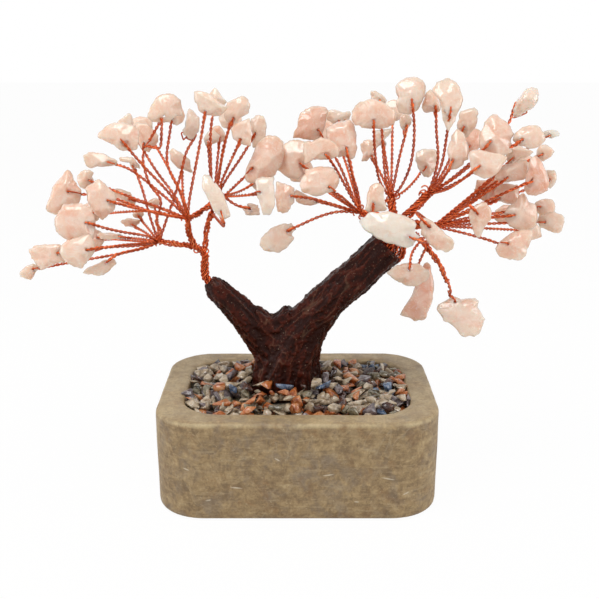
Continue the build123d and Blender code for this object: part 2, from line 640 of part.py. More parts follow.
hubs, stems = {}, {}
for table, stem_radius, radius in (
        (LEFT_STEM_PIXELS_AND_SHARES, left_stem_radius, left_hub_radius),
        (RIGHT_STEM_PIXELS_AND_SHARES, right_stem_radius, right_hub_radius)):
    for name, row in table.items():
        stems[name] = Stem(stem_points(row), stem_radius)
        hubs[name] = (stems[name].points[-1], radius)
stems["main_hub"].radius = right_main_radius
hubs["main_hub"] = (hubs["main_hub"][0], right_main_radius)
stems["drooping"] = Stem(stem_points(DROOPING_PIXELS_AND_SHARES), drooping_radius)
hubs["drooping"] = (stems["drooping"].points[-1], drooping_radius)
stems["neck"] = Stem(stem_points(LEFT_NECK_PIXELS_AND_SHARES), left_neck_radius)

HUB_SPRAYS = {"fan_hub": "left_fan", "low_hub": "left_low", "top_hub": "left_top",
              "bridge_hub": "left_bridge", "reach_hub": "right_reach", "crest_hub": "right_crest",
              "slant_hub": "right_slant", "side_hub": "right_side", "main_hub": "right_side",
              "drooping": "drooping"}
twigs = [Twig(chip, *hubs[chip.hub]) for chip in all_chips]
twig_pairs = [(a, b) for a in twigs for b in twigs
              if HUB_SPRAYS[a.chip.hub] != HUB_SPRAYS[b.chip.hub]]
twig_pairs += [(a, b) for a in twigs for name, b in stems.items() if name != a.chip.hub]
for _ in range(8):
    crossing = clear_of_twigs(twig_pairs)
    clear_of_chips(twigs, all_chips)
print("twigs still near another spray or stem:", crossing)


def write(name, solids):
    """One node: a single solid, or a group of separate ones."""
    shape = solids[0] if len(solids) == 1 else Compound(children=[Part(s.wrapped) for s in solids])
    export_step(shape, "parts/" + name + ".step")


# Stone pot
def build_pot():
    taper = math.degrees(math.atan(pot_draw_in / pot_height))
    outline = Plane.XY.offset(pot_height) * RectangleRounded(pot_width, pot_depth, pot_corner)
    block = extrude(outline, -pot_height, taper=taper)
    block = block - extrude(pocket_outline(pot_height - pocket_depth, 0), pocket_depth + cut_overrun)
    block = fillet(block.faces().sort_by(Axis.Z)[0].edges(), pot_foot_round)
    rim = block.faces().filter_by(Plane.XY).sort_by(Axis.Z)[-1].edges()
    return one_solid(fillet(rim, pot_rim_round))


def pocket_outline(height, gap):
    """The plan of the pocket, drawn in by a gap, at a height."""
    return Plane.XY.offset(height) * RectangleRounded(
        pot_width - 2 * rim_width - 2 * gap, pot_depth - 2 * rim_width - 2 * gap, pocket_corner - gap)


# Trunk: two limbs of bark, each a run of ridged rings, with a channel for the wires in each
bed_top = pot_height - gravel_size


def limb_places(row):
    return [seen(u, v, crown_depth * share) for u, v, radius, share in row]


def limb_radii(row):
    return [radius * pixel_size(u, v, crown_depth * share) for u, v, radius, share in row]


def limb_rings(row, foot=None):
    places, radii = limb_places(row), limb_radii(row)
    if foot is not None:
        places[-1] = np.array((places[-1][0], places[-1][1], foot))
    rings = []
    for k, (place, radius) in enumerate(zip(places, radii)):
        along = unit(places[min(k + 1, len(places) - 1)] - places[max(k - 1, 0)])
        if foot is not None and k >= len(places) - 2:
            along = np.array((0.0, 0.0, -1.0))
        deep = unit(np.cross(along, ACROSS) if abs(along[0]) < 0.3 else
                    np.array((0.0, 1.0, 0.0)) - along * along[1])
        if deep[1] < 0:
            deep = -deep
        wide = np.cross(deep, along)
        ring = []
        for i in range(BARK_SIDES):
            angle = 2 * math.pi * i / BARK_SIDES
            ridge = 1 + bark_ridge_share * (1 if i % 2 else -1) + rng.uniform(-0.5, 0.5) * bark_ridge_share
            ring.append(place + radius * ridge * (wide * math.cos(angle) + deep * math.sin(angle) * 0.92))
        rings.append(ring)
    return rings


def core_route(row, shift, lead):
    """The middle line of a wire core: out of the limb, down it, and into the plaster."""
    places = limb_places(row)
    out = unit(places[0] - places[1])
    foot = places[-1]
    route = [places[0] + out * lead] + places[1:-1]
    ground = np.array((foot[0] + shift, foot[1], bed_top - core_depth))
    knee = np.array((foot[0] + shift, foot[1], bed_top + core_depth))
    route = [p for p in route if p[2] > knee[2] + core_depth / 2]
    return route + [knee, ground]


left_route = core_route(LEFT_LIMB_PIXELS_AND_SHARES, -left_core_radius, 0)
right_route = core_route(RIGHT_LIMB_PIXELS_AND_SHARES, right_core_radius, 0)


def extended(route, overrun):
    start = route[0] + unit(route[0] - route[1]) * overrun
    end = route[-1] + unit(route[-1] - route[-2]) * overrun
    return [start] + route[1:-1] + [end]


def build_bark():
    foot = bed_top - root_depth
    bark = skin(limb_rings(RIGHT_LIMB_PIXELS_AND_SHARES, foot))
    bark = bark + skin(limb_rings(LEFT_LIMB_PIXELS_AND_SHARES))
    bark = bark + skin(limb_rings(FORK_WEB_PIXELS_AND_SHARES))
    bark = one_solid(bark)
    bark = bark - rod(extended(left_route, cut_overrun), left_core_radius + core_gap)
    bark = bark - rod(extended(right_route, cut_overrun), right_core_radius + core_gap)
    return one_solid(bark)


# Copper bundles: rods with a ball at each fork and hub, as the wires part there
def bundle(rows, radii, balls):
    shape = None
    for points, radius in zip(rows, radii):
        piece = rod(points, radius)
        shape = piece if shape is None else shape + piece
    for point, radius in balls:
        shape = shape + ball(point, radius)
    return one_solid(shape)


left_tip_out = unit(left_route[0] - left_route[1])
left_pivot = left_route[0] + left_tip_out * (bend_ball_radius + bend_gap)
left_names = list(LEFT_STEM_PIXELS_AND_SHARES)
left_bundle = bundle(
    [[left_pivot] + stems["neck"].points] + [stems[name].points for name in left_names],
    [left_neck_radius] + [left_stem_radius] * len(left_names),
    [(left_pivot, bend_ball_radius), (stems["neck"].points[-1], left_neck_radius)]
    + [hubs[name] for name in left_names] + [(stems["fan_hub"].points[0], left_stem_radius)])

right_names = [name for name in RIGHT_STEM_PIXELS_AND_SHARES if name != "main_hub"]
right_bundle = bundle(
    [right_route, stems["main_hub"].points] + [stems[name].points for name in right_names],
    [right_core_radius, right_main_radius] + [right_stem_radius] * len(right_names),
    [(right_route[0], right_core_radius)] + [hubs["main_hub"]]
    + [hubs[name] for name in right_names if name != "droop_hub"])

droop_pivot = stems["drooping"].points[0]

# The drooping stem's ball has its pole along the wires, which keeps its seam clear of theirs
droop_along = smooth_path(stems["drooping"].points) % 0
drooping_stem = one_solid(
    rod(stems["drooping"].points, drooping_radius)
    + Plane(origin=to_vector(droop_pivot), z_dir=droop_along) * Sphere(drooping_ball_radius))
left_core = one_solid(rod(left_route, left_core_radius))
bark = build_bark()


# Plaster bed, cast round the foot of the bark and the two wire cores
def build_bed():
    floor = pot_height - pocket_depth
    bed = extrude(pocket_outline(floor, casting_gap), bed_top - floor)
    return one_solid(bed - bark - left_core - right_bundle)


# Gravel: a stone in each cell of a close-packed grid over the bed, clear of the bark
def build_gravel():
    pitch_across = gravel_size + gravel_gap
    pitch_deep = pitch_across * math.sin(math.radians(60))
    half_width = pot_width / 2 - rim_width - casting_gap
    half_depth = pot_depth / 2 - rim_width - casting_gap
    groups = {name: [] for name in GRAVEL_SHARES}
    trunk = limb_rings_at_bed()
    rows = int(half_depth / pitch_deep)
    for j in range(-rows, rows + 1):
        columns = int(half_width / pitch_across)
        for i in range(-columns - 1, columns + 2):
            x = (i + (j % 2) / 2) * pitch_across
            y = j * pitch_deep
            size = gravel_size * rng.uniform(0.82, 1.0)
            height = gravel_size * (1 + gravel_lift_share * rng.uniform(-1, 1))
            sort = rng.choices(list(GRAVEL_SHARES), list(GRAVEL_SHARES.values()))[0]
            sides, turn = rng.choice((5, 6, 6, 7)), rng.uniform(0, math.pi)
            if not inside_rounded(x, y, half_width - size / 2, half_depth - size / 2,
                                  pocket_corner - size / 2):
                continue
            if np.hypot(x - trunk[0], y - trunk[1]) < trunk[2] + size / 2 + gravel_gap:
                continue
            groups[sort].append(stone((x, y, bed_top), size, height, sides, turn))
    return groups


def inside_rounded(x, y, half_width, half_depth, corner):
    over_x = abs(x) - (half_width - corner)
    over_y = abs(y) - (half_depth - corner)
    if over_x > 0 and over_y > 0:
        return math.hypot(over_x, over_y) < corner
    return abs(x) < half_width and abs(y) < half_depth


def limb_rings_at_bed():
    """Middle and radius of the bark where it leaves the bed."""
    place = limb_places(RIGHT_LIMB_PIXELS_AND_SHARES)[-1]
    radius = limb_radii(RIGHT_LIMB_PIXELS_AND_SHARES)[-1] * (1 + 1.5 * bark_ridge_share)
    return place[0], place[1], radius


nodes = {"stone_pot": [build_pot()], "plaster_bed": [build_bed()], "trunk_bark": [bark],
         "left_wire_core": [left_core], "left_wire_stems": [left_bundle],
         "right_wire_bundle": [right_bundle], "drooping_stem": [drooping_stem]}
for name, stones in build_gravel().items():
    nodes["gravel_" + name] = stones
for spray in SPRAYS:
    for chip in sprays[spray]:
        node = chip.name if spray == "free" else spray + "_chips"
        nodes.setdefault(node, []).append(chip.solid())
for twig in twigs:
    nodes.setdefault(HUB_SPRAYS[twig.chip.hub] + "_twigs", []).append(twig.solid())

for name, solids in nodes.items():
    write(name, solids)
print(len(nodes), "nodes,", sum(len(solids) for solids in nodes.values()), "solids")
print("left bend at", left_pivot, "droop bend at", droop_pivot)
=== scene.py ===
import json
import math
import random

import bmesh
import bpy
from mathutils import Matrix, Vector, bvhtree, kdtree, noise


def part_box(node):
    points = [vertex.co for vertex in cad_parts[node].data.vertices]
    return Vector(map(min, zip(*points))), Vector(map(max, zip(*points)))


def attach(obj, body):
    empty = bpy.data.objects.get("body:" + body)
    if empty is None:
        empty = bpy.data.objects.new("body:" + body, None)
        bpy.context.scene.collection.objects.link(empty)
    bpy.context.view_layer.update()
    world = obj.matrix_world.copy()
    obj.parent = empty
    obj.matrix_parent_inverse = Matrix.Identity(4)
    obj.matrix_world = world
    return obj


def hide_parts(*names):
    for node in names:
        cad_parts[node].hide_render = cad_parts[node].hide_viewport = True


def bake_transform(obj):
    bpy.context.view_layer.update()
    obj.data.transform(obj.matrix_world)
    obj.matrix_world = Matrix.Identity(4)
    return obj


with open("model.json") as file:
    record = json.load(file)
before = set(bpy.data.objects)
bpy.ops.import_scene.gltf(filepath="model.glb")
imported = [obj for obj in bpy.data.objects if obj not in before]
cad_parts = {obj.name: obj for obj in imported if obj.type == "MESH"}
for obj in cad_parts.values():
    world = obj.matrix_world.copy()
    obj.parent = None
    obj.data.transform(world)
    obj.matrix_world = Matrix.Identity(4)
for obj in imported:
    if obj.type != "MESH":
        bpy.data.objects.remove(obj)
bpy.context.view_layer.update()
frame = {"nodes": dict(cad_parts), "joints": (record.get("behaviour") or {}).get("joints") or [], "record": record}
nodes = frame["nodes"]
MM = 0.001


# The studio: the ornament stands on a white sheet under a large soft lamp overhead, with a
# softer lamp at each side, and is photographed from the front, a little above the rim.
photo_pixels = 599
lens_pixels = 929
film_width = 36.0
eye = Vector((0.663, -286.0, 143.69)) * MM
pitch = math.radians(16.1)
camera_data = bpy.data.cameras.new("photo_camera")
camera_data.sensor_width = film_width
camera_data.lens = film_width * lens_pixels / photo_pixels
camera_data.clip_start = 0.01
camera = bpy.data.objects.new("photo_camera", camera_data)
camera.location = eye
camera.rotation_euler = (math.pi / 2 - pitch, 0, 0)
put_in_scene = bpy.context.scene.collection.objects.link
put_in_scene(camera)
bpy.context.scene.camera = camera
bpy.context.scene.view_settings.view_transform = "Standard"


def linear(code):
    """Linear colour of an sRGB hex value."""
    parts = [int(code[i:i + 2], 16) / 255 for i in (1, 3, 5)]
    return [p / 12.92 if p <= 0.04045 else ((p + 0.055) / 1.055) ** 2.4 for p in parts] + [1.0]


def fill(tree, node, sockets):
    """Gives a node's sockets their values and links."""
    for key, value in sockets.items():
        if isinstance(value, bpy.types.NodeSocket):
            tree.links.new(value, node.inputs[key])
        else:
            node.inputs[key].default_value = linear(value) if isinstance(value, str) else value


def add(tree, kind, sockets=None, **settings):
    """Adds a node to a material or world, with its settings, values and links, and a ramp's stops."""
    made = tree.nodes.new(kind)
    for key, value in settings.items():
        if key != "stops":
            setattr(made, key, value)
            continue
        while len(made.color_ramp.elements) < len(value):
            made.color_ramp.elements.new(0.5)
        for element, (where, colour) in zip(made.color_ramp.elements, value):
            element.position = where
            element.color = linear(colour) if isinstance(colour, str) else (colour, colour, colour, 1)
    fill(tree, made, sockets or {})
    return made


def lamp(name, place, aim, size, power):
    """A square soft lamp at a place in millimetres, turned to another."""
    data = bpy.data.lights.new(name, "AREA")
    data.size, data.energy = size, power
    thing = bpy.data.objects.new(name, data)
    thing.location = Vector(place) * MM
    thing.rotation_euler = (Vector(aim) - Vector(place)).to_track_quat("-Z", "Y").to_euler()
    put_in_scene(thing)


tree_middle = (0, 0, 70)
lamp("top_softbox", (-110, -190, 560), tree_middle, 0.3, 1.5)
lamp("right_softbox", (460, -120, 220), tree_middle, 0.25, 0.6)
lamp("left_softbox", (-460, -40, 200), tree_middle, 0.25, 0.45)

world = bpy.data.worlds.new("studio")
bpy.context.scene.world = world
world.use_nodes = True
air = world.node_tree
air.nodes.clear()
light_path = add(air, "ShaderNodeLightPath")
seen_or_mirrored = add(air, "ShaderNodeMath", {
    0: light_path.outputs["Is Camera Ray"], 1: light_path.outputs["Is Glossy Ray"]}, operation="MAXIMUM")
seen_through = add(air, "ShaderNodeMath", {
    0: seen_or_mirrored.outputs[0], 1: light_path.outputs["Is Transmission Ray"]}, operation="MAXIMUM")
soft_light = add(air, "ShaderNodeBackground", {"Color": "#F6F5F3", "Strength": 0.52})
white_sheet = add(air, "ShaderNodeBackground", {"Color": "#FFFFFF", "Strength": 1.0})
air_mix = add(air, "ShaderNodeMixShader", {
    0: seen_through.outputs[0], 1: soft_light.outputs[0], 2: white_sheet.outputs[0]})
add(air, "ShaderNodeOutputWorld", {0: air_mix.outputs[0]})


def material(name):
    """A new material and its nodes, with its shader and the object's own coordinates."""
    made = bpy.data.materials.new(name)
    made.use_nodes = True
    tree = made.node_tree
    tree.nodes.clear()
    place = add(tree, "ShaderNodeTexCoord").outputs["Object"]
    shader = add(tree, "ShaderNodeBsdfPrincipled")
    add(tree, "ShaderNodeOutputMaterial", {0: shader.outputs[0]})
    return made, tree, place, shader


# Floor: matt white card. The camera sees it as white, and it keeps part of the pot's shadow.
card, tree, place, shader = material("matt white card")
card_grain = add(tree, "ShaderNodeTexNoise", {"Vector": place, "Scale": 1 / (2.5 * MM)})
card_tone = add(tree, "ShaderNodeMix", {0: card_grain.outputs["Fac"], 6: "#F4F3F1", 7: "#FAF9F7"},
                data_type="RGBA").outputs[2]
fill(tree, shader, {"Base Color": card_tone, "Roughness": 0.9, "Specular IOR Level": 0.1})
glow = add(tree, "ShaderNodeEmission", {"Color": "#FFFFFF", "Strength": 1.0})
card_path = add(tree, "ShaderNodeLightPath")
white_share = 0.965
seen_share = add(tree, "ShaderNodeMath", {0: card_path.outputs["Is Camera Ray"], 1: white_share},
                 operation="MULTIPLY")
card_mix = add(tree, "ShaderNodeMixShader", {
    0: seen_share.outputs[0], 1: shader.outputs[0], 2: glow.outputs[0]})
tree.links.new(card_mix.outputs[0], tree.nodes["Material Output"].inputs[0])
sheet_form = bmesh.new()
bmesh.ops.create_grid(sheet_form, x_segments=1, y_segments=1, size=2.5)
bmesh.ops.translate(sheet_form, vec=(0, 0, -0.05 * MM), verts=sheet_form.verts)
sheet_mesh = bpy.data.meshes.new("floor_card")
sheet_form.to_mesh(sheet_mesh)
floor_card = bpy.data.objects.new("floor_card", sheet_mesh)
floor_card.data.materials.append(card)
put_in_scene(floor_card)


# Stone pot: a rounded oblong block of tan soapstone, hollowed by hand and honed, so its
# faces are not quite flat and its edges are softly worn.
def merged(node):
    """A copy of a node's shape with its loose triangles joined."""
    form = bmesh.new()
    form.from_mesh(nodes[node].data)
    bmesh.ops.remove_doubles(form, verts=form.verts, dist=0.002 * MM)
    return form


def even_net(form, cell):
    """The same form as one even net of small faces."""
    blank = bpy.data.objects.new("blank", bpy.data.meshes.new("blank"))
    form.to_mesh(blank.data)
    form.free()
    put_in_scene(blank)
    net = blank.modifiers.new("net", "REMESH")
    net.mode, net.voxel_size = "VOXEL", cell
    shaped = blank.evaluated_get(bpy.context.evaluated_depsgraph_get())
    form = bmesh.new()
    form.from_mesh(shaped.to_mesh())
    bpy.data.objects.remove(blank)
    return form


def smooth(form, rounds):
    """Eases a form's vertices towards their neighbours."""
    for _ in range(rounds):
        bmesh.ops.smooth_vert(form, verts=form.verts, factor=0.5, use_axis_x=True,
                              use_axis_y=True, use_axis_z=True)


def place_piece(form, name, finish, replaced, body=None):
    """Makes a form a piece of the ornament, in place of a CAD node."""
    for face in form.faces:
        face.smooth = True
    mesh = bpy.data.meshes.new(name)
    form.to_mesh(mesh)
    form.free()
    piece = bpy.data.objects.new(name, mesh)
    mesh.materials.append(finish)
    put_in_scene(piece)
    if body:
        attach(piece, body)
    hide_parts(replaced)
    return piece


# Honed soapstone: cloudy tan and grey-brown, with violet-grey stains, rusty spots, fine level
# streaks, a few white scratches, a paler rim edge and top that are partly wear and partly a
# painted highlight, and a dull wax sheen.
soapstone, tree, place, shader = material("honed soapstone")


def laid(tree, under, colour, pattern, *stops):
    """A colour laid over another one; the stops turn a pattern into its share."""
    share = add(tree, "ShaderNodeValToRGB", {"Fac": pattern}, stops=stops).outputs[0]
    return add(tree, "ShaderNodeMix", {0: share, 6: under, 7: colour}, data_type="RGBA").outputs[2]


clouds = add(tree, "ShaderNodeTexNoise", {
    "Vector": place, "Scale": 1 / (15 * MM), "Detail": 4.0, "Roughness": 0.6,
    "Distortion": 0.5}).outputs["Fac"]
mottles = add(tree, "ShaderNodeTexNoise", {
    "Vector": place, "Scale": 1 / (3.2 * MM), "Detail": 6.0, "Roughness": 0.7,
    "Distortion": 0.3}).outputs["Fac"]
grain = add(tree, "ShaderNodeTexNoise", {
    "Vector": place, "Scale": 1 / (0.8 * MM), "Detail": 4.0, "Roughness": 0.7}).outputs["Fac"]
cloud_colour = add(tree, "ShaderNodeValToRGB", {"Fac": clouds}, stops=(
    (0.34, "#866D4D"), (0.45, "#9C835F"), (0.56, "#B0966E"), (0.68, "#A9967A"))).outputs[0]
mottle_colour = add(tree, "ShaderNodeValToRGB", {"Fac": mottles}, stops=(
    (0.36, "#6F5A43"), (0.47, "#967F5D"), (0.57, "#B0976F"), (0.68, "#C4AE87"))).outputs[0]
stone_colour = add(tree, "ShaderNodeMix", {0: 0.6, 6: cloud_colour, 7: mottle_colour},
                   data_type="RGBA").outputs[2]
even = (1, 1, 1)
# Ragged patches: their size in millimetres, shift, stretch, the pattern's low and high, their
# strength and their colour. Those that are stretched make level streaks.
for size, shift, stretch, low, high, most, colour in (
        (6.5, (0.3, 0.1, 0.2), even, 0.5, 0.66, 0.6, "#82766A"),
        (5.0, (0.7, 0.4, 0.9), even, 0.54, 0.7, 0.55, "#86603C"),
        (3.0, (0.2, 0.6, 0.5), even, 0.56, 0.66, 0.5, "#6D5945"),
        (2.2, (0.5, 0.9, 0.1), (0.22, 0.22, 1.5), 0.5, 0.68, 0.5, "#77644C"),
        (2.0, (0.9, 0.2, 0.6), (0.25, 0.25, 1.6), 0.54, 0.7, 0.55, "#BCA884"),
        (1.1, (0.1, 0.3, 0.8), even, 0.62, 0.7, 0.6, "#C6B592")):
    moved = add(tree, "ShaderNodeMapping", {"Vector": place, "Location": shift, "Scale": stretch}).outputs[0]
    ragged = add(tree, "ShaderNodeTexNoise", {
        "Vector": moved, "Scale": 1 / (size * MM), "Detail": 6.0, "Roughness": 0.68, "Distortion": 0.3})
    stone_colour = laid(tree, stone_colour, colour, ragged.outputs["Fac"], (low, 0.0), (high, most))
veins = add(tree, "ShaderNodeTexNoise", {
    "Vector": place, "Scale": 1 / (30 * MM), "Detail": 4.0, "Roughness": 0.5,
    "Distortion": 0.8}).outputs["Fac"]
stone_colour = laid(tree, stone_colour, "#C9BC9F", veins, (0.484, 0.0), (0.488, 0.22), (0.492, 0.0))
pot_low, pot_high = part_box("stone_pot")
# Scratches on the front: how far across and up, half their length, in millimetres, and their lean
for across, up, half, lean in ((-18.5, 11.2, 2.4, 0.1), (9.3, 15.4, 2.2, -0.15), (27.4, 14.2, 2.6, 0.2),
                               (-6.0, 20.5, 1.2, 0.5), (33.0, 9.0, 1.4, -0.4), (-33.5, 17.0, 1.3, 0.3),
                               (18.0, 6.5, 1.0, 0.1), (-27.0, 7.0, 1.1, -0.2)):
    scratch_place = add(tree, "ShaderNodeMapping", {
        "Vector": place, "Location": (across * MM, pot_low.y, up * MM), "Rotation": (0, lean, 0),
        "Scale": (half * MM, 5 * MM, 0.3 * MM)}, vector_type="TEXTURE").outputs[0]
    scratch = add(tree, "ShaderNodeTexGradient", {"Vector": scratch_place}, gradient_type="SPHERICAL")
    stone_colour = laid(tree, stone_colour, "#E3D9C4", scratch.outputs["Fac"], (0.1, 0.0), (0.5, 0.6))
# Painted highlight: the rim's rounded edge and its top are painted paler, partly as wear and partly as the
# highlight of the overhead lamp.
worn = add(tree, "ShaderNodeAttribute", attribute_name="worn").outputs["Fac"]
stone_colour = add(tree, "ShaderNodeMix", {0: worn, 6: stone_colour, 7: "#C9B68F"},
                   data_type="RGBA").outputs[2]
stone_colour = laid(tree, stone_colour, "#6E5B45", grain, (0.35, 0.3), (0.6, 0.0))
sheen = add(tree, "ShaderNodeValToRGB", {"Fac": mottles}, stops=((0.3, 0.52), (0.7, 0.38))).outputs[0]
stone_bump = add(tree, "ShaderNodeBump", {"Height": grain, "Strength": 0.25, "Distance": 0.05 * MM})
fill(tree, shader, {"Base Color": stone_colour, "Roughness": sheen, "Specular IOR Level": 0.3,
                    "Normal": stone_bump.outputs[0]})

pot_form = even_net(merged("stone_pot"), 0.75 * MM)
smooth(pot_form, 2)
pot_form.normal_update()
rim_wear_and_highlight_layer = pot_form.verts.layers.float.new("worn")
for vertex in pot_form.verts:
    if vertex.co.z > 1.0 * MM:
        swell = noise.noise(vertex.co / (14 * MM)) * 0.16 + noise.noise(vertex.co / (3.5 * MM)) * 0.05
        vertex.co += vertex.normal * swell * MM
    # The paler band on the rim edge and top is partly wear and partly a painted highlight.
    if vertex.co.z > pot_high.z - 2.5 * MM and 0.25 < vertex.normal.z < 0.93:
        rub = 0.5 + 0.9 * noise.noise(vertex.co / (5 * MM)) + 0.5 * noise.noise(vertex.co / (1.6 * MM))
        vertex[rim_wear_and_highlight_layer] = max(0.0, min(0.75, rub))
    elif vertex.co.z > pot_high.z - 0.6 * MM and vertex.normal.z >= 0.93:
        vertex[rim_wear_and_highlight_layer] = 0.26 + 0.35 * noise.noise(vertex.co / (7 * MM))
place_piece(pot_form, "carved_pot", soapstone, "stone_pot", "pot_and_trunk")


# Plaster bed: casting plaster in the pot's pocket, coloured dark to mid grey-brown by a fine grit pattern.
plaster, tree, place, shader = material("gritty cast plaster")
grit = add(tree, "ShaderNodeTexNoise", {
    "Vector": place, "Scale": 1 / (0.8 * MM), "Detail": 5.0}).outputs["Fac"]
grey_grit_colour = add(tree, "ShaderNodeValToRGB", {"Fac": grit}, stops=(
    (0.35, "#4A4238"), (0.5, "#857C6E"), (0.7, "#A89F90"))).outputs[0]
grit_bump = add(tree, "ShaderNodeBump", {"Height": grit, "Strength": 0.8, "Distance": 0.3 * MM})
fill(tree, shader, {"Base Color": grey_grit_colour, "Roughness": 0.85, "Normal": grit_bump.outputs[0]})
nodes["plaster_bed"].data.materials.clear()
nodes["plaster_bed"].data.materials.append(plaster)


# Gravel: tumbled splinters of six stones, glued on the plaster, level with the rim and heaped
# up to the trunk. Each is a broken pebble with worn edges, 5 to 9 mm long, a little translucent.
draw = random.Random(5)
bed_low, bed_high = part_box("plaster_bed")
bark_tree = bvhtree.BVHTree.FromBMesh(merged("trunk_bark"))
# Each sort's share of the stones, then its light, dark and flaw colours
SORTS = {"clear_quartz": (0.4, "#BBA588", "#75624C", "#E8DAC2"),
         "carnelian": (0.24, "#C67038", "#8C441F", "#E6AE7C"),
         "amethyst": (0.09, "#7D6E6E", "#463D42", "#ADA2A2"),
         "garnet": (0.16, "#40241F", "#1C110F", "#8A6250"),
         "sodalite": (0.02, "#4F6A8E", "#2C3A52", "#A9B4C4"),
         "moss_agate": (0.08, "#756A52", "#443C2E", "#B0A68C")}
heaps = {name: bmesh.new() for name in SORTS}


def pebble(heap, middle, long, wide, high):
    """One splinter: the hull of a few points, with its edges worn by a bevel."""
    turn = (Matrix.Rotation(draw.uniform(0, 6.28), 4, "Z") @ Matrix.Rotation(draw.uniform(-0.5, 0.5), 4, "X")
            @ Matrix.Rotation(draw.uniform(-0.5, 0.5), 4, "Y"))
    stone = bmesh.new()
    for _ in range(8):
        spot = Vector((draw.gauss(0, 1), draw.gauss(0, 1), draw.gauss(0, 1))).normalized()
        stone.verts.new(turn @ Vector((spot.x * long / 2, spot.y * wide / 2, spot.z * high / 2)) + middle)
    bmesh.ops.convex_hull(stone, input=stone.verts)
    bmesh.ops.bevel(stone, geom=stone.edges, offset=0.16 * MM, offset_type="OFFSET", segments=1,
                    profile=0.5, affect="EDGES", clamp_overlap=True, material=-1)
    shell = bpy.data.meshes.new("pebble")
    stone.to_mesh(shell)
    stone.free()
    heap.from_mesh(shell)
    bpy.data.meshes.remove(shell)


def beside_trunk(spot):
    """Distance from a spot to the bark, less than zero inside it."""
    near, normal, _, far = bark_tree.find_nearest(spot)
    return far if (spot - near).dot(normal) > 0 else -far


names = list(SORTS)
weights = [SORTS[name][0] for name in names]
step = 4.1 * MM
corner = 12.5 * MM
rows = int((bed_high.y - bed_low.y) / step) + 1
columns = int((bed_high.x - bed_low.x) / step) + 1
for layer, keep in enumerate((1.0, 0.95, 0.9)):
    for i in range(columns + 1):
        for j in range(rows + 1):
            x = bed_low.x + (i + 0.5 * (j % 2) + draw.uniform(-0.35, 0.35)) * step
            y = bed_low.y + (j + draw.uniform(-0.35, 0.35)) * step
            long, wide = draw.uniform(4.8, 8.8) * MM, draw.uniform(3.4, 5.6) * MM
            high, sort, chance = draw.uniform(2.6, 4.0) * MM, draw.choices(names, weights)[0], draw.random()
            margin = (0.2 if layer < 2 else 0.8) * MM
            over_x = max(0.0, max(bed_low.x - x, x - bed_high.x) + corner + margin)
            over_y = max(0.0, max(bed_low.y - y, y - bed_high.y) + corner + margin)
            if chance > keep or math.hypot(over_x, over_y) > corner:
                continue
            clear = beside_trunk(Vector((x, y, bed_high.z + 2 * MM)))
            if clear < 0.6 * MM:
                continue
            heaped = max(0.0, 1 - clear / (14 * MM)) * 3.4 * MM
            top = pot_high.z - 0.1 * MM + heaped
            z = (bed_high.z + 1.2 * MM + (top - bed_high.z - 1.2 * MM) * layer / 2
                 + draw.uniform(-0.45, 0.35) * MM)
            pebble(heaps[sort], Vector((x, y, z)), long, wide, high)

for name, (_, light, dark, flaw) in SORTS.items():
    tumbled, tree, place, shader = material("tumbled " + name.replace("_", " "))
    inside = add(tree, "ShaderNodeTexNoise", {
        "Vector": place, "Scale": 1 / (3.2 * MM), "Detail": 5.0, "Roughness": 0.6, "Distortion": 0.8})
    body_colour = add(tree, "ShaderNodeValToRGB", {"Fac": inside.outputs["Fac"]}, stops=(
        (0.36, dark), (0.5, light), (0.7, flaw))).outputs[0]
    flaws = add(tree, "ShaderNodeTexNoise", {
        "Vector": place, "Scale": 1 / (1.6 * MM), "Detail": 5.0, "Roughness": 0.65, "Distortion": 1.2})
    fill(tree, shader, {
        "Base Color": laid(tree, body_colour, flaw, flaws.outputs["Fac"], (0.5, 0.0), (0.66, 0.75)),
        "Roughness": 0.14, "IOR": 1.54, "Subsurface Weight": 0.15, "Transmission Weight": 0.2,
        "Subsurface Radius": (1.2 * MM, 1.0 * MM, 0.9 * MM), "Subsurface Scale": 1.0})
    place_piece(heaps[name], "heap_" + name, tumbled, "gravel_" + name, "pot_and_trunk")


# Bark: a dark red-brown resin worked over the wire by hand and lacquered. It has long wavy
# furrows along both limbs, with small lumps between them. Its colour has painted shade in the
# furrows and painted light on the ridges, and small painted glints.
def seen(u, v, depth):
    """The place that the camera sees at a pixel, at a depth in millimetres behind the middle plane."""
    rise = (photo_pixels / 2 - v) / lens_pixels
    reach = (depth * MM - eye.y) / (math.cos(pitch) + rise * math.sin(pitch))
    return Vector((eye.x + reach * (u - photo_pixels / 2) / lens_pixels, depth * MM,
                   eye.z + reach * (rise * math.cos(pitch) - math.sin(pitch))))


crown_depth = 50.0


def seen_line(row):
    """A line through pixels, with depths as shares of the crown's."""
    return [seen(u, v, crown_depth * share) for u, v, share in row]


def even_line(points, gap):
    """The same line with its points about a gap apart."""
    runs = [0.0]
    for p, q in zip(points, points[1:]):
        runs.append(runs[-1] + (q - p).length)
    count = max(2, round(runs[-1] / gap))
    made, k = [], 0
    for i in range(count + 1):
        run = runs[-1] * i / count
        while k < len(points) - 2 and runs[k + 1] < run:
            k += 1
        made.append(points[k].lerp(points[k + 1], (run - runs[k]) / max(runs[k + 1] - runs[k], 1e-9)))
    return made


def round_corners(points, rounds=3):
    """Cuts a line's corners until it is smooth."""
    for _ in range(rounds):
        cut = [points[0]]
        for p, q in zip(points, points[1:]):
            cut += [p.lerp(q, 0.25), p.lerp(q, 0.75)]
        points = cut + [points[-1]]
    return points


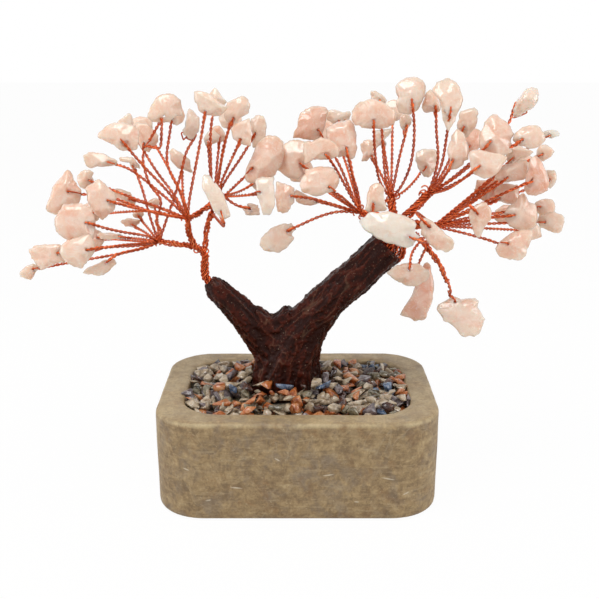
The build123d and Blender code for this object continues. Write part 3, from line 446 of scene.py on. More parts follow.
right_limb = seen_line(((388, 247, 0), (372, 261, 0), (356, 276, 0), (340, 289, .01), (325, 303, .02),
                        (311, 319, .04), (298, 336, .06), (288, 354, .08), (285, 372, .08), (285, 396, .08)))
left_limb = seen_line(((209, 281, 0), (215, 287, 0), (224, 296, 0), (236, 307, .01), (247, 319, .03),
                       (258, 332, .05), (270, 348, .07), (277, 366, .08)))
limb_step = 1.0 * MM
limb_lines = [even_line(line, limb_step) for line in (right_limb, left_limb)]
limb_trees = []
for line in limb_lines:
    limb_tree = kdtree.KDTree(len(line))
    for i, spot in enumerate(line):
        limb_tree.insert(spot, i)
    limb_tree.balance()
    limb_trees.append(limb_tree)


def on_limb(spot):
    """The run down the nearer limb, the angle round it, the distance from its middle, and which it is."""
    found = [limb_tree.find(spot) for limb_tree in limb_trees]
    which = 0 if found[0][2] < found[1][2] * 1.4 else 1
    middle, i, far = found[which]
    line = limb_lines[which]
    along = (line[min(i + 1, len(line) - 1)] - line[max(i - 1, 0)]).normalized()
    offset = spot - middle
    run = i * limb_step + offset.dot(along)
    side = Vector((0, 1, 0)).cross(along).normalized()
    deep = along.cross(side)
    return run, math.atan2(offset.dot(deep), offset.dot(side)), far, which


bark_form = even_net(merged("trunk_bark"), 0.36 * MM)
smooth(bark_form, 5)
bark_form.normal_update()
ridge_layer = bark_form.verts.layers.float.new("ridge")
flow_layer = bark_form.verts.layers.float.new("flow")
for vertex in bark_form.verts:
    run, angle, far, which = on_limb(vertex.co)
    around = Vector((math.cos(angle), math.sin(angle), 0)) * far
    sway = noise.noise(Vector((run / (11 * MM), which * 7.3, angle))) * 1.1
    furrow = noise.noise(around / (3.0 * MM) + Vector((sway, 0, run / (15 * MM) + which * 5)))
    fine = noise.noise(around / (1.3 * MM) + Vector((0, sway * 1.6, run / (7 * MM) + 9)))
    thread = noise.noise(around / (0.75 * MM) + Vector((sway * 2, sway, run / (5 * MM) + 3)))
    lump = noise.noise(vertex.co / (1.9 * MM))
    small = noise.noise(vertex.co / (0.8 * MM))
    rise = ((0.5 - 2.0 * abs(furrow)) * 0.34 + (0.35 - 1.5 * abs(fine)) * 0.3
            + (0.3 - 1.2 * abs(thread)) * 0.16 + lump * 0.24 + max(0.0, small) * 0.5)
    vertex[ridge_layer] = rise
    vertex[flow_layer] = max(0.0, 1 - abs(furrow) / 0.06) + max(0.0, 1 - abs(thread) / 0.08) * 0.4
    vertex.co += vertex.normal * rise * 0.9 * MM

lacquer, tree, place, shader = material("lacquered resin bark")
ridge = add(tree, "ShaderNodeAttribute", attribute_name="ridge").outputs["Fac"]
flow = add(tree, "ShaderNodeAttribute", attribute_name="flow").outputs["Fac"]
glint_and_bump_specks = add(tree, "ShaderNodeTexNoise", {
    "Vector": place, "Scale": 1 / (0.7 * MM), "Detail": 4.0, "Roughness": 0.7}).outputs["Fac"]
# Painted shade and light: the bark is darker where the surface is low, in the furrows, and paler on the ridges.
bark_colour = add(tree, "ShaderNodeValToRGB", {"Fac": ridge}, stops=(
    (0.0, "#2B100A"), (0.2, "#40170D"), (0.45, "#4E1D12"), (0.75, "#5C2719"))).outputs[0]
bark_colour = laid(tree, bark_colour, "#7E604C", flow, (0.2, 0.0), (0.95, 0.32))
# Painted glints: small pale specks stand in for highlights on the lacquer; the same specks also set the roughness
# and the bump.
bark_colour = laid(tree, bark_colour, "#A58E78", glint_and_bump_specks, (0.64, 0.0), (0.7, 0.75))
gloss = add(tree, "ShaderNodeValToRGB", {"Fac": glint_and_bump_specks}, stops=((0.3, 0.2), (0.7, 0.4))).outputs[0]
bark_bump = add(tree, "ShaderNodeBump", {"Height": glint_and_bump_specks, "Strength": 0.5, "Distance": 0.15 * MM})
fill(tree, shader, {"Base Color": bark_colour, "Roughness": gloss, "Specular IOR Level": 0.11,
                    "Normal": bark_bump.outputs[0]})
place_piece(bark_form, "resin_bark", lacquer, "trunk_bark", "pot_and_trunk")


# Copper bundles: every twig is a wire folded in two and twisted, and the bundles are these
# twisted pairs laid side by side and wound by hand into loose ropes that part at the hubs.
# The strays of the pairs are the same each time that the tree is made.
noise.seed_set(3)
wire_radius = 0.24
pair_radius = 0.27
pair_lay = 3.2
wire_step = 0.3
pair_gap = 0.98
ring_gap = 0.95


def guides(line):
    """Two directions square to a line at each of its points, carried along without a twist."""
    made, side = [], None
    for i in range(len(line)):
        along = (line[min(i + 1, len(line) - 1)] - line[max(i - 1, 0)]).normalized()
        if side is None:
            side = along.orthogonal()
        side = (side - along * side.dot(along)).normalized()
        made.append((side.copy(), along.cross(side)))
    return made


def strand(line, radius, lay, start, flare=None):
    """A wire that winds round a line; lay is the run of one full turn."""
    runs, made = 0.0, []
    for i, (spot, (side, over)) in enumerate(zip(line, guides(line))):
        if i:
            runs += (spot - line[i - 1]).length
        angle = start + 2 * math.pi * runs / lay
        out = radius * (flare(i / (len(line) - 1)) if flare else 1)
        made.append(spot + (side * math.cos(angle) + over * math.sin(angle)) * out)
    return made


def pair(line, start):
    """The two wires of one twisted pair."""
    return [strand(line, pair_radius * MM, pair_lay * MM, start + turn) for turn in (0, math.pi)]


def rope(points, radius, lay, flare=None):
    """The wires of one bundle: twisted pairs in rings, each pair straying a little."""
    line = even_line(round_corners(points), wire_step * MM)
    made, out = [], radius - 0.5
    while out > -0.2:
        count = max(1, round(2 * math.pi * max(out, 0) / pair_gap))
        for k in range(count):
            path = strand(line, max(out, 0) * MM, lay * draw.uniform(0.85, 1.2) * MM,
                          2 * math.pi * (k + draw.uniform(-0.2, 0.2)) / count, flare)
            seed = draw.uniform(0, 90)
            path = [spot + noise.noise_vector(Vector((i * 0.07, seed, 0))) * 0.3 * MM
                    for i, spot in enumerate(path)]
            made += pair(path, draw.uniform(0, 6))
        out -= ring_gap
    return made


def curl(spot, size):
    """The loose end of a wire, bent back in a small curl."""
    side = Vector((draw.gauss(0, 1), draw.gauss(0, 0.6), draw.gauss(0, 1))).normalized()
    over = side.cross(Vector((draw.gauss(0, 0.5), 1, draw.gauss(0, 0.5)))).normalized()
    turn, grow = draw.uniform(2.6, 4.6), draw.uniform(1.0, 1.5)
    angles = [turn * i / 12 for i in range(13)]
    return [spot + (side * (math.cos(angle) - 1) + over * math.sin(angle) * grow) * size * MM
            for angle in angles]


def curls(hubs, small, large):
    """Loose ends: for each hub its place, how many it has, and how far they spread in millimetres."""
    made = []
    for middle, count, spread in hubs:
        for _ in range(count):
            stray = Vector((draw.uniform(-1, 1), draw.uniform(-1, 1), draw.uniform(-1, 1)))
            stray = stray * spread * 0.45 * MM
            made.append(curl(middle + stray, draw.uniform(small, large)))
    return made


def wires(lines):
    """Round wires along lines, as one form."""
    curve = bpy.data.curves.new("wires", "CURVE")
    curve.dimensions = "3D"
    curve.bevel_depth, curve.bevel_resolution, curve.use_fill_caps = wire_radius * MM, 1, True
    for line in lines:
        spline = curve.splines.new("POLY")
        spline.points.add(len(line) - 1)
        for point, spot in zip(spline.points, line):
            point.co = (*spot, 1)
    holder = bpy.data.objects.new("wires", curve)
    put_in_scene(holder)
    form = bmesh.new()
    form.from_mesh(holder.evaluated_get(bpy.context.evaluated_depsgraph_get()).to_mesh())
    bpy.data.objects.remove(holder)
    return form


# Enamelled copper: bright red copper under a thin clear enamel, darker where fingers and
# pliers have rubbed it.
copper, tree, place, shader = material("enamelled copper wire")
rubbed = add(tree, "ShaderNodeTexNoise", {
    "Vector": place, "Scale": 1 / (2.5 * MM), "Detail": 3.0}).outputs["Fac"]
reds = add(tree, "ShaderNodeValToRGB", {"Fac": rubbed}, stops=(
    (0.3, "#AE4A29"), (0.55, "#CF6339"), (0.75, "#E68D60"))).outputs[0]
shine = add(tree, "ShaderNodeValToRGB", {"Fac": rubbed}, stops=((0.3, 0.36), (0.7, 0.22))).outputs[0]
fill(tree, shader, {"Base Color": reds, "Roughness": shine, "Metallic": 1.0})

pivots = {joint["name"]: Vector(joint["pos_m"]) for joint in frame["joints"]}
left_pivot, droop_pivot = pivots["left_crown_bend"], pivots["drooping_branch_bend"]
neck = [left_limb[1], left_limb[0], left_pivot] + seen_line(((205, 266, 0), (204, 253, 0)))
left_low = seen_line(((204, 253, 0), (195, 246, 0), (180, 244, .03), (159, 242, .05)))
left_fan = seen_line(((195, 246, 0), (191, 239, -.02), (188, 230, -.04), (188, 219, -.05)))
left_top = seen_line(((204, 253, 0), (206, 243, .04), (206, 231, .10), (212, 213, .19)))
left_bridge = seen_line(((188, 219, -.05), (198, 214, .03), (210, 205, .09), (224, 196, .06)))
right_main = [right_limb[1], right_limb[0]] + seen_line(((392, 236, 0), (396, 225, 0)))
right_side = seen_line(((396, 225, 0), (412, 224, -.02), (434, 226, -.06)))
right_slant = seen_line(((396, 225, 0), (412, 211, .02), (428, 194, .04)))
right_crest = seen_line(((396, 225, 0), (393, 213, .05), (391, 199, .10)))
right_reach = seen_line(((396, 225, 0), (381, 217, -.02), (361, 213, -.04)))
right_droop = seen_line(((396, 225, 0), (409, 229, -.07), (418, 237, -.17)))
drooping = seen_line(((421, 240, -.20), (429, 249, -.24), (440, 266, -.25), (448, 282, -.24)))

left_strands = rope(neck, 1.45, 13)
for points in (left_low, left_fan, left_top, left_bridge):
    left_strands += rope(points, 1.1, 11)
left_strands += curls(((neck[-1], 3, 1.2), (left_fan[0], 3, 1.6), (left_fan[-1], 4, 1.6),
                       (left_low[-1], 3, 1.3), (left_top[-1], 3, 1.0), (left_bridge[-1], 2, 0.8)), 0.5, 1.0)
left_ropes = place_piece(wires(left_strands), "left_copper_ropes", copper, "left_wire_stems")
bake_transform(left_ropes)

right_strands = rope(right_main, 2.3, 26)
cut_middle, hub = seen(391, 249, 0), right_main[-1]
cut_along = (seen(407, 257, 0) - seen(375, 241, 0)) / 2
limb_along = (right_limb[1] - right_limb[0]).normalized()
outer_pairs = 16
for k in range(outer_pairs):
    angle = 2 * math.pi * k / outer_pairs
    start = cut_middle + cut_along * 0.86 * math.cos(angle) + Vector((0, 2.4 * MM * math.sin(angle), 0))
    finish = hub + cut_along * 0.34 * math.cos(angle) + Vector((0, 1.6 * MM * math.sin(angle), 0))
    bow = start.lerp(finish, 0.5) + cut_along * 0.12 * math.cos(angle)
    path = even_line(round_corners([start + limb_along * 2.5 * MM, start, bow, finish]), wire_step * MM)
    right_strands += pair(path, draw.uniform(0, 6))
for points in (right_side, right_slant, right_crest, right_reach):
    right_strands += rope(points, 1.6, 16, flare=lambda share: 1.1 - 0.3 * share)
right_strands += rope(right_droop, 1.2, 11)
right_strands += curls(((right_main[-1], 5, 2.4), (right_side[-1], 4, 1.8), (right_slant[-1], 6, 2.2),
                        (right_crest[-1], 7, 2.4), (right_reach[-1], 4, 1.8)), 0.6, 1.2)
place_piece(wires(right_strands), "right_copper_ropes", copper, "right_wire_bundle",
            "pot_and_trunk")

droop_ropes = place_piece(wires(rope([right_droop[-1]] + drooping, 1.0, 9)), "drooping_copper_rope",
                          copper, "drooping_stem")
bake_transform(droop_ropes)
nodes["left_wire_core"].data.materials.clear()
nodes["left_wire_core"].data.materials.append(copper)


# Twigs: one wire folded in two through a chip's bore and twisted back on itself, so that two
# strands wind round each other from the hub, and a loop of single wire holds the chip.
HUBS = {"left_low": left_low[-1], "left_fan": left_fan[-1], "left_top": left_top[-1],
        "left_bridge": left_bridge[-1], "right_reach": right_reach[-1], "right_crest": right_crest[-1],
        "right_slant": right_slant[-1], "right_side": right_side[-1], "drooping": drooping[-1]}
hub_spots = list(HUBS.values()) + [right_main[-1]]
twig_radius = 0.425
loop_radius = 0.2
split = 3.4
lay_steps = 12
fewest_in_ring = 6
bore_spots = []


def solids_of(form):
    """The vertices of each separate solid of a form, in the form's order."""
    met = set()
    for first in form.verts:
        if first in met:
            continue
        met.add(first)
        group, edge_front = [first], [first]
        while edge_front:
            vertex = edge_front.pop()
            for edge in vertex.link_edges:
                other = edge.other_vert(vertex)
                if other not in met:
                    met.add(other)
                    group.append(other)
                    edge_front.append(other)
        yield sorted(group, key=lambda vertex: vertex.index)


def ring_centres(group, radius, taken):
    """The centres of the rings that a round wire of a radius has, with each ring's vertices."""
    inner = [(vertex, vertex.co - vertex.normal * radius * MM) for vertex in group if vertex not in taken]
    inner_tree = kdtree.KDTree(len(inner))
    for i, (_, spot) in enumerate(inner):
        inner_tree.insert(spot, i)
    inner_tree.balance()
    used, rings = set(), []
    for i, (_, spot) in enumerate(inner):
        if i in used:
            continue
        near = [k for _, k, _ in inner_tree.find_range(spot, 0.05 * MM) if k not in used]
        if len(near) >= fewest_in_ring:
            used.update(near)
            middle = sum((inner[k][1] for k in near), Vector()) / len(near)
            rings.append((middle, [inner[k][0] for k in near]))
    return rings


def chained(rings):
    """Ring centres in order along the longest run of wire, by the edges between their vertices."""
    owner = {vertex: i for i, (_, members) in enumerate(rings) for vertex in members}
    links = [{} for _ in rings]
    for i, (_, members) in enumerate(rings):
        for vertex in members:
            for edge in vertex.link_edges:
                k = owner.get(edge.other_vert(vertex))
                if k is not None and k != i:
                    links[i][k] = links[i].get(k, 0) + 1
    longest = []
    for end in [i for i, joined in enumerate(links) if len(joined) == 1] or [0]:
        order = [end]
        while True:
            onward = [k for k in links[order[-1]] if k not in order]
            if not onward:
                break
            order.append(max(onward, key=lambda k: (links[order[-1]][k], -k)))
        longest = max(longest, order, key=len)
    return [rings[i][0] for i in longest]


for spray in HUBS:
    form = merged(spray + "_twigs")
    form.verts.index_update()
    form.normal_update()
    lines = []
    for group in solids_of(form):
        rod_rings = ring_centres(group, twig_radius, set())
        members = {vertex for _, ring in rod_rings for vertex in ring}
        loop = chained(ring_centres(group, loop_radius, members))
        bore_spots.append(loop[len(loop) // 2])
        root = (loop[0] + loop[-1]) / 2
        far_vertex = max(group, key=lambda vertex: (vertex.co - root).length)
        start = min(hub_spots, key=lambda spot: (spot - far_vertex.co).length)
        route, left = [start], [middle for middle, _ in rod_rings]
        while left:
            nearest = min(left, key=lambda spot: (spot - route[-1]).length)
            left.remove(nearest)
            route.append(nearest)
        route = even_line(route + [root], 1.2 * MM)
        for _ in range(10):
            eased = [b * 0.5 + (a + c) * 0.25 for a, b, c in zip(route, route[1:], route[2:])]
            route = route[:1] + eased + route[-1:]
        line = even_line(round_corners(route, 2), pair_lay / lay_steps * MM)
        line = line[:max(6, len(line) - round(split * lay_steps / pair_lay))]
        side, over = guides(line)[-1]
        length = sum((q - p).length for p, q in zip(line, line[1:]))
        first = loop[0] - root
        end_angle = math.atan2(first.dot(over), first.dot(side))
        one, two = pair(line, end_angle - 2 * math.pi * length / (pair_lay * MM))
        lines.append(one[:-1] + even_line([one[-1]] + loop + [two[-1]], wire_step * MM) + two[:-1][::-1])
    body = "drooping_branch" if spray == "drooping" else "left_crown" if "left" in spray else "pot_and_trunk"
    place_piece(wires(lines), spray + "_twists", copper, spray + "_twigs", body)


# Rose quartz chips: broken crystal tumbled until its edges are worn, with a few flat breaks on
# each face, drilled once near an edge. Milky pink to cream, with white clouds, fine cracks whose
# white lines are partly painted highlight, and painted shade along the outline.
rose, tree, place, shader = material("tumbled rose quartz")
tint = add(tree, "ShaderNodeAttribute", attribute_name="tint").outputs["Fac"]
rim = add(tree, "ShaderNodeAttribute", attribute_name="rim").outputs["Fac"]
milk = add(tree, "ShaderNodeTexNoise", {
    "Vector": place, "Scale": 1 / (5 * MM), "Detail": 5.0, "Roughness": 0.6,
    "Distortion": 0.8}).outputs["Fac"]
crack_and_highlight_lines = add(tree, "ShaderNodeTexNoise", {
    "Vector": place, "Scale": 1 / (4 * MM), "Detail": 6.0, "Roughness": 0.6,
    "Distortion": 1.8}).outputs["Fac"]
pink = add(tree, "ShaderNodeValToRGB", {"Fac": tint}, stops=(
    (0.0, "#EBB094"), (0.3, "#F5C5AB"), (0.6, "#F8D5BF"), (0.85, "#F7DFCE"), (1.0, "#F6E9DB"))).outputs[0]
pink = laid(tree, pink, "#FCE8DA", milk, (0.4, 0.0), (0.64, 0.55))
pink = laid(tree, pink, "#EDB79D", milk, (0.3, 0.5), (0.46, 0.0))
# White lines: partly the chip's healed cracks and partly painted highlights along its ridges.
pink = laid(tree, pink, "#FFF8F0", crack_and_highlight_lines, (0.475, 0.0), (0.487, 0.75), (0.5, 0.0))
pink = laid(tree, pink, "#B98F7C", crack_and_highlight_lines, (0.6, 0.0), (0.612, 0.35), (0.625, 0.0))
# Painted shade: a greyish line along each chip's outline as the camera sees it, for the dimming of its translucent
# edges.
pink = laid(tree, pink, "#CDB6A1", rim, (0.88, 0.0), (0.98, 0.4))
polish = add(tree, "ShaderNodeValToRGB", {"Fac": crack_and_highlight_lines}, stops=((0.3, 0.2), (0.7, 0.08))).outputs[0]
fill(tree, shader, {"Base Color": pink, "Roughness": polish, "IOR": 1.54, "Transmission Weight": 0.12,
                    "Coat Weight": 0.4, "Coat Roughness": 0.06, "Subsurface Weight": 0.7,
                    "Subsurface Radius": (3.2 * MM, 2.4 * MM, 1.9 * MM), "Subsurface Scale": 1.0})

# For the chips that face the camera: the tint, then the outline's corners in pixels
OUTLINE_PIXELS = {
    "fan_01": (0.4, 66, 169.5, 70.5, 169, 74, 178, 82, 190, 80, 203, 62, 212, 55, 216, 47, 212, 44.3, 207,
        50, 196, 52.5, 186, 60, 177),
    "fan_02": (0.55, 77, 176, 80, 172, 85, 169.5, 90, 169.5, 94, 172, 90, 185, 85, 190, 80, 187, 77, 181),
    "fan_03": (0.45, 85, 188, 98.5, 178, 107.5, 185.5, 116.5, 196, 116.5, 208.5, 102, 221, 93, 212, 87, 201),
    "fan_04": (0.5, 111, 189, 120, 188, 130.5, 192.5, 136.5, 201.5, 134, 210, 120, 205),
    "fan_10": (0.5, 83, 155, 88, 151.5, 94, 151.5, 104, 153.5, 112, 157, 118, 160, 119, 164, 112, 166.5, 104,
        167, 97, 166.5, 90, 169.5, 86, 166, 83.5, 161),
    "fan_11": (0.45, 95, 136.5, 96, 133, 107, 125, 114, 122, 124, 122, 133, 124, 139, 130, 140, 140, 137,
        150, 130, 153, 120, 150, 109, 143, 101, 139.5),
    "fan_12": (0.6, 117, 122, 122, 118, 128, 112.5, 131, 113.5, 133, 118, 133.5, 124, 128, 127, 120, 126),
    "fan_20": (0.5, 168, 151.5, 172, 147, 180.5, 151.5, 191.5, 160.5, 193, 174.5, 189, 173, 177, 167.5, 170,
        160.5),
    "fan_21": (0.6, 194, 91.5, 199, 90.5, 210, 93.5, 222, 104, 229, 107, 220, 117, 207, 116, 198, 111, 194,
        100),
    "low_05": (0.4, 63, 204, 80, 203, 92, 207, 95, 218, 97, 229, 93, 240, 80, 243, 66, 240, 57, 233.5, 53.3,
        226, 55, 217),
    "low_06": (0.5, 66, 240, 90, 233, 94.6, 239.6, 95.8, 248, 93.8, 253.5, 88.5, 261, 85, 264, 82, 269, 74,
        267, 64, 262, 59, 252, 61, 244),
    "low_07": (0.45, 27, 249, 33, 244.5, 46, 244, 62, 243.5, 66, 262, 52, 266, 41, 271, 33, 262, 29, 255),
    "low_13": (0.4, 134, 122.5, 140, 122, 147, 123.5, 151, 127.5, 156, 131.5, 158.5, 136, 158.5, 142, 155,
        146, 148, 153.5, 141, 149, 138, 140, 136, 130),
    "low_14": (0.6, 119, 157, 128, 156.5, 133, 157, 139, 163, 141, 169, 137, 168, 128, 162, 120, 161),
    "low_15": (0.4, 120, 221, 127, 217.5, 142, 219, 138, 226.5, 125, 227),
    "low_16": (0.4, 97, 232, 109, 232.5, 123.5, 233.5, 125, 239, 109, 240, 97, 239),
    "low_17": (0.42, 147, 117, 148, 110, 154, 100, 158, 95, 166, 93, 174, 94, 181, 100, 183, 112, 181, 123,
        176, 125, 170, 123, 152, 122),
    "low_19": (0.75, 187, 107.5, 189.5, 107.5, 200, 116.5, 199.5, 132, 193, 140, 188, 140, 184, 132, 186,
        115.5),
    "top_22": (0.65, 209, 94, 214.5, 87, 217, 89, 222, 96, 227, 102, 222, 108, 212, 106),
    "top_23": (0.45, 227, 102, 241.5, 95, 247, 97, 251, 105, 248.5, 114, 239.5, 118.5, 234, 124.5, 227, 123,
        223.5, 116),
    "top_24": (0.32, 230.5, 128, 238, 122, 250, 117.5, 252, 133.5, 251, 147, 239.5, 143.5, 232.5, 139),
    "top_25": (0.55, 250, 117.5, 259, 114, 265.5, 116.5, 267, 124.5, 265.5, 139, 259, 147, 252, 148),
    "top_26": (0.7, 207.5, 132, 213, 128, 220, 135.5, 219, 142.5, 213, 148, 205, 146, 203, 139),
    "bridge_01": (0.35, 244, 176, 246, 168, 252, 156, 258, 141, 266, 135, 276, 135, 284, 142, 284, 160, 276,
        175, 262, 180, 255, 184, 247, 183),
    "bridge_03": (0.8, 254, 180, 261, 176.5, 274.5, 177, 275.5, 205, 272.5, 215.5, 263, 215, 260, 205, 255.5,
        190.5),
    "bridge_05": (0.4, 242, 207, 248.5, 203, 259, 205, 261, 215.5, 245, 215.5),
    "reach_02": (0.5, 275, 152, 281, 145, 290, 140, 300, 139, 312, 141, 317, 146, 310, 155, 304, 166, 303,
        174, 298, 180, 288, 178, 279, 172, 274, 163),
    "reach_04": (0.35, 276, 180, 295, 187, 295, 203, 288, 212, 282, 213.5, 277, 213, 275, 198),
    "reach_06": (0.25, 292, 139, 294, 132, 297, 126, 298, 118, 300, 112, 305, 109, 312, 106, 320, 105.5, 326,
        107, 329, 110, 327, 118, 325, 128, 322, 136, 316, 141, 305, 140, 297, 138),
    "reach_08": (0.3, 326, 128, 332, 124, 340, 121, 350, 118, 354, 124, 356.5, 134, 357.5, 147, 355, 158,
        350, 160, 344, 156, 338, 158, 331, 152, 327, 142, 325, 134),
    "reach_09": (0.45, 304, 142, 312, 141, 320, 137, 328, 138, 336, 143, 341, 150, 338, 157, 330, 160, 322,
        160, 312, 160, 304, 166, 303, 157, 302, 149),
    "reach_10": (0.48, 303, 175, 304, 169, 312, 167, 322, 166, 334, 167, 338, 172, 340, 180, 338, 187, 333,
        192, 324, 195, 316, 197, 308, 196, 301, 192, 299, 184),
    "reach_11": (0.4, 294, 187, 300, 191, 310, 197, 320, 200, 317, 204, 311, 206, 304, 205, 296, 203, 293,
        197),
    "reach_12": (0.72, 326, 112, 330, 109, 336, 109.5, 343, 112, 350, 110.5, 352, 114, 350, 119, 342, 122,
        334, 124, 328, 121, 325, 117),
    "crest_01": (0.45, 351, 112, 354, 106, 360, 101.5, 368, 98.5, 376, 99, 385, 103, 393, 107.5, 397, 114,
        396, 121, 393, 127, 388, 129, 372, 129, 360, 129, 354, 125, 350.5, 119),
    "crest_02": (0.6, 370, 99, 370.5, 90.5, 375, 90, 380, 93, 385, 96.5, 387.5, 101, 385, 104, 377, 102),
    "crest_03": (0.5, 361, 162, 363, 155, 361, 150, 360, 144, 364, 140, 370, 138, 375, 142, 376, 150, 371,
        157, 366, 162),
    "crest_04": (0.72, 374, 130, 385, 129, 393, 128, 391, 133, 386, 138, 380, 145, 375, 150, 372, 143),
    "crest_05": (0.66, 396, 92, 395, 87, 397, 83, 402, 79, 408, 77, 415, 76, 421, 78, 425, 83, 426.5, 89,
        425, 96, 421, 104, 418, 110, 411, 115, 404, 114, 398, 112, 396, 104, 397.5, 97),
    "crest_08": (0.45, 400, 116, 404, 113, 409, 114, 412, 119, 411, 125, 407, 129, 402, 129, 399.5, 123),
    "crest_12": (0.75, 416, 152, 422, 149, 430, 148, 437, 150, 438, 158, 437, 168, 430, 177, 424, 178, 419,
        170, 415, 160),
    "slant_06": (0.4, 421, 106, 424, 98, 426, 92, 430, 89, 433, 92, 438, 98, 441, 106, 440, 112, 435, 114,
        427, 114, 423, 111),
    "slant_07": (0.55, 430, 89, 433, 85, 438, 81, 446, 78, 453, 77.5, 455, 78, 459, 84, 462.5, 92, 463.5, 99,
        462, 105, 459, 112, 456, 120, 451, 128, 449, 134, 446, 128, 442, 118, 441, 108, 438, 98, 432, 93),
    "slant_10": (0.6, 458, 112, 463, 110, 469, 108.5, 474, 107, 478, 110, 478.5, 118, 476, 127, 471, 134,
        467, 138, 461, 136, 456, 131, 456, 124, 459, 119),
    "slant_11": (0.55, 449, 141, 452, 135, 457, 128, 463, 132, 467, 139, 468.5, 146, 469, 153, 469, 160, 463,
        165, 457, 169, 452, 170, 449.5, 166, 448, 158, 447, 150),
    "slant_13": (0.4, 479, 141, 479.5, 133, 483, 124, 488, 117, 492, 114, 496, 114, 501, 117, 508, 123, 513,
        129, 515, 134, 511, 139, 512, 146, 513, 152, 506, 156, 497, 160, 487, 158, 480, 154, 479, 148),
    "slant_14": (0.48, 469, 151, 479, 149, 490, 152, 501, 153, 508, 157, 504, 166, 498, 173, 492, 178, 484,
        179, 477, 177, 471, 172, 469, 163),
    "slant_15": (0.75, 520, 97, 523, 90.5, 527, 87, 532, 86.5, 536, 87.5, 539.5, 92, 540, 97, 538, 102, 534,
        107, 529, 112, 524, 116, 517, 118, 513, 117, 512.5, 110, 514, 104, 517, 99),
    "slant_16": (0.45, 512, 140, 513, 136, 516, 131, 522, 127, 529, 125, 536, 124.5, 541, 128, 545, 134, 546,
        140, 543, 145, 536, 148, 529, 149, 521, 146, 515, 143),
    "side_17": (1, 543, 131, 550, 129.5, 556, 130, 561, 133, 560, 136, 553, 138, 546, 142, 543, 139),
    "side_18": (0.45, 540, 145, 546, 144, 552, 148, 555, 151, 551, 157, 546, 160, 543, 162, 538, 158, 536,
        151),
    "side_19": (0.55, 509, 146, 515, 144, 522, 146, 528, 149, 534, 152, 528, 157, 520, 160, 514, 163, 509,
        165, 505, 158, 505, 151),
    "side_20": (0, 530, 158, 536, 155, 541, 158, 544, 165, 547, 172, 550, 181, 551, 188, 546, 192, 539, 195,
        532, 197, 527, 195, 524, 190, 523, 184, 526, 176, 528, 167),
    "side_21": (0.5, 546, 170, 555, 170, 557, 173, 556.5, 180, 554, 186, 550, 189, 547, 186, 546, 178),
    "side_22": (0.22, 474, 190, 475.5, 184, 477, 179, 485, 180, 493, 177, 500, 180, 502, 186, 500, 193, 494,
        200, 486, 202, 480, 201, 476, 195),
    "side_23": (0.35, 494, 177, 499, 170, 505, 164, 512, 163, 520, 160, 527, 160, 529, 168, 528, 176, 524,
        180, 516, 181, 506, 183, 498, 182),
    "side_24": (0.3, 497, 184, 505, 183, 515, 183, 520, 187, 519, 193, 522, 200, 516, 205, 507, 204, 498,
        202, 492, 198, 494, 190),
    "side_25": (0.4, 504, 213, 508, 206, 515, 203, 519, 195, 523, 192, 527, 197, 529, 202, 536, 204, 538,
        211, 538, 218, 537, 226, 532, 230, 525, 231, 516, 230, 509, 226, 505, 220),
    "side_26": (0.4, 534, 204, 538, 200, 545, 198.5, 552, 198.5, 555, 202, 555.5, 208, 554, 213, 548, 215,
        540, 216, 536, 212),
    "side_27": (0.5, 539, 215, 546, 213, 554, 211, 561, 214, 565, 217, 564, 224, 562, 231, 560, 234, 554,
        233, 546, 230, 540, 228, 537, 222),
    "side_28": (0.42, 495, 253, 494.5, 249, 497, 244, 501, 240, 508, 235, 515, 230, 524, 229, 534, 230, 536,
        231, 532, 240, 528, 249, 526, 256, 522, 260, 517, 261, 510, 260, 503, 258, 498, 256),
    "chip_far_left": (0.4, 18.5, 274, 20, 271, 26, 266, 33, 263, 41, 266, 38, 272, 35, 275, 31, 280, 26,
        279.5, 20, 277),
    "chip_low_left": (0.45, 82, 271.5, 86, 267.5, 97, 264, 106, 259, 113, 257.5, 117, 263, 115, 267, 110,
        272, 103, 275.5, 96, 276, 87, 275.5, 83, 273.5),
    "chip_long": (0.8, 199.5, 180, 204, 174.5, 211, 174.5, 216.5, 180, 228, 203, 231, 212, 228, 220, 220,
        221, 215.5, 217.5, 209.5, 203, 202, 189),
    "chip_drooping": (0.62, 259, 244, 260, 239, 270, 228, 286, 221.5, 291.5, 223, 298.5, 232, 295, 239, 286,
        249.5, 279, 253.5, 263, 250.5),
    "chip_white": (1, 358.5, 224, 360, 219, 364, 214, 367, 211, 375, 211, 388, 211, 400, 214, 410, 217, 418,
        220, 420, 228, 420.5, 238, 418, 246, 415, 250, 409, 250, 400, 247, 389, 244, 376, 238.5, 367, 233,
        361, 229),
    "chip_wedge": (0.5, 365, 210, 366, 201, 367.5, 193, 369, 186, 373, 183, 381, 183, 385, 188, 384, 196,
        386, 204, 388, 211, 376, 212, 367, 212),
    "chip_slanting": (0.5, 420, 221, 423, 217, 428, 218, 436, 224, 443, 231, 449, 236, 454, 240, 455, 244,
        453, 249, 449, 252, 443, 253, 437, 252, 431, 246, 425, 240, 420, 234, 419, 227),
    "chip_teardrop": (0.3, 470, 209, 475, 205, 480, 202, 486, 202, 491, 206, 492, 212, 491, 219, 487, 225,
        483, 231, 481.5, 236, 478, 238, 475, 236, 473, 230, 470, 223, 468, 216),
    "chip_under": (0.5, 386, 272, 388, 270, 394, 266, 401, 263, 410, 262.5, 419, 263, 425, 266, 429, 270,
        430, 276, 427, 281, 421, 285, 414, 287, 405, 286, 396, 281, 389, 277),
    "chip_hanging": (0.08, 423, 263, 428, 260, 432, 264, 434.5, 271, 435, 280, 434, 292, 433, 304, 430, 314,
        428, 319, 424, 321, 412, 321, 405, 318.5, 400, 317, 399, 314, 403, 308, 409, 300, 413, 291, 417, 281,
        422, 270),
    "chip_blocky": (0.72, 440, 301, 443, 297, 447, 295.5, 452, 297, 459, 298.5, 468, 298, 476, 298, 479, 301,
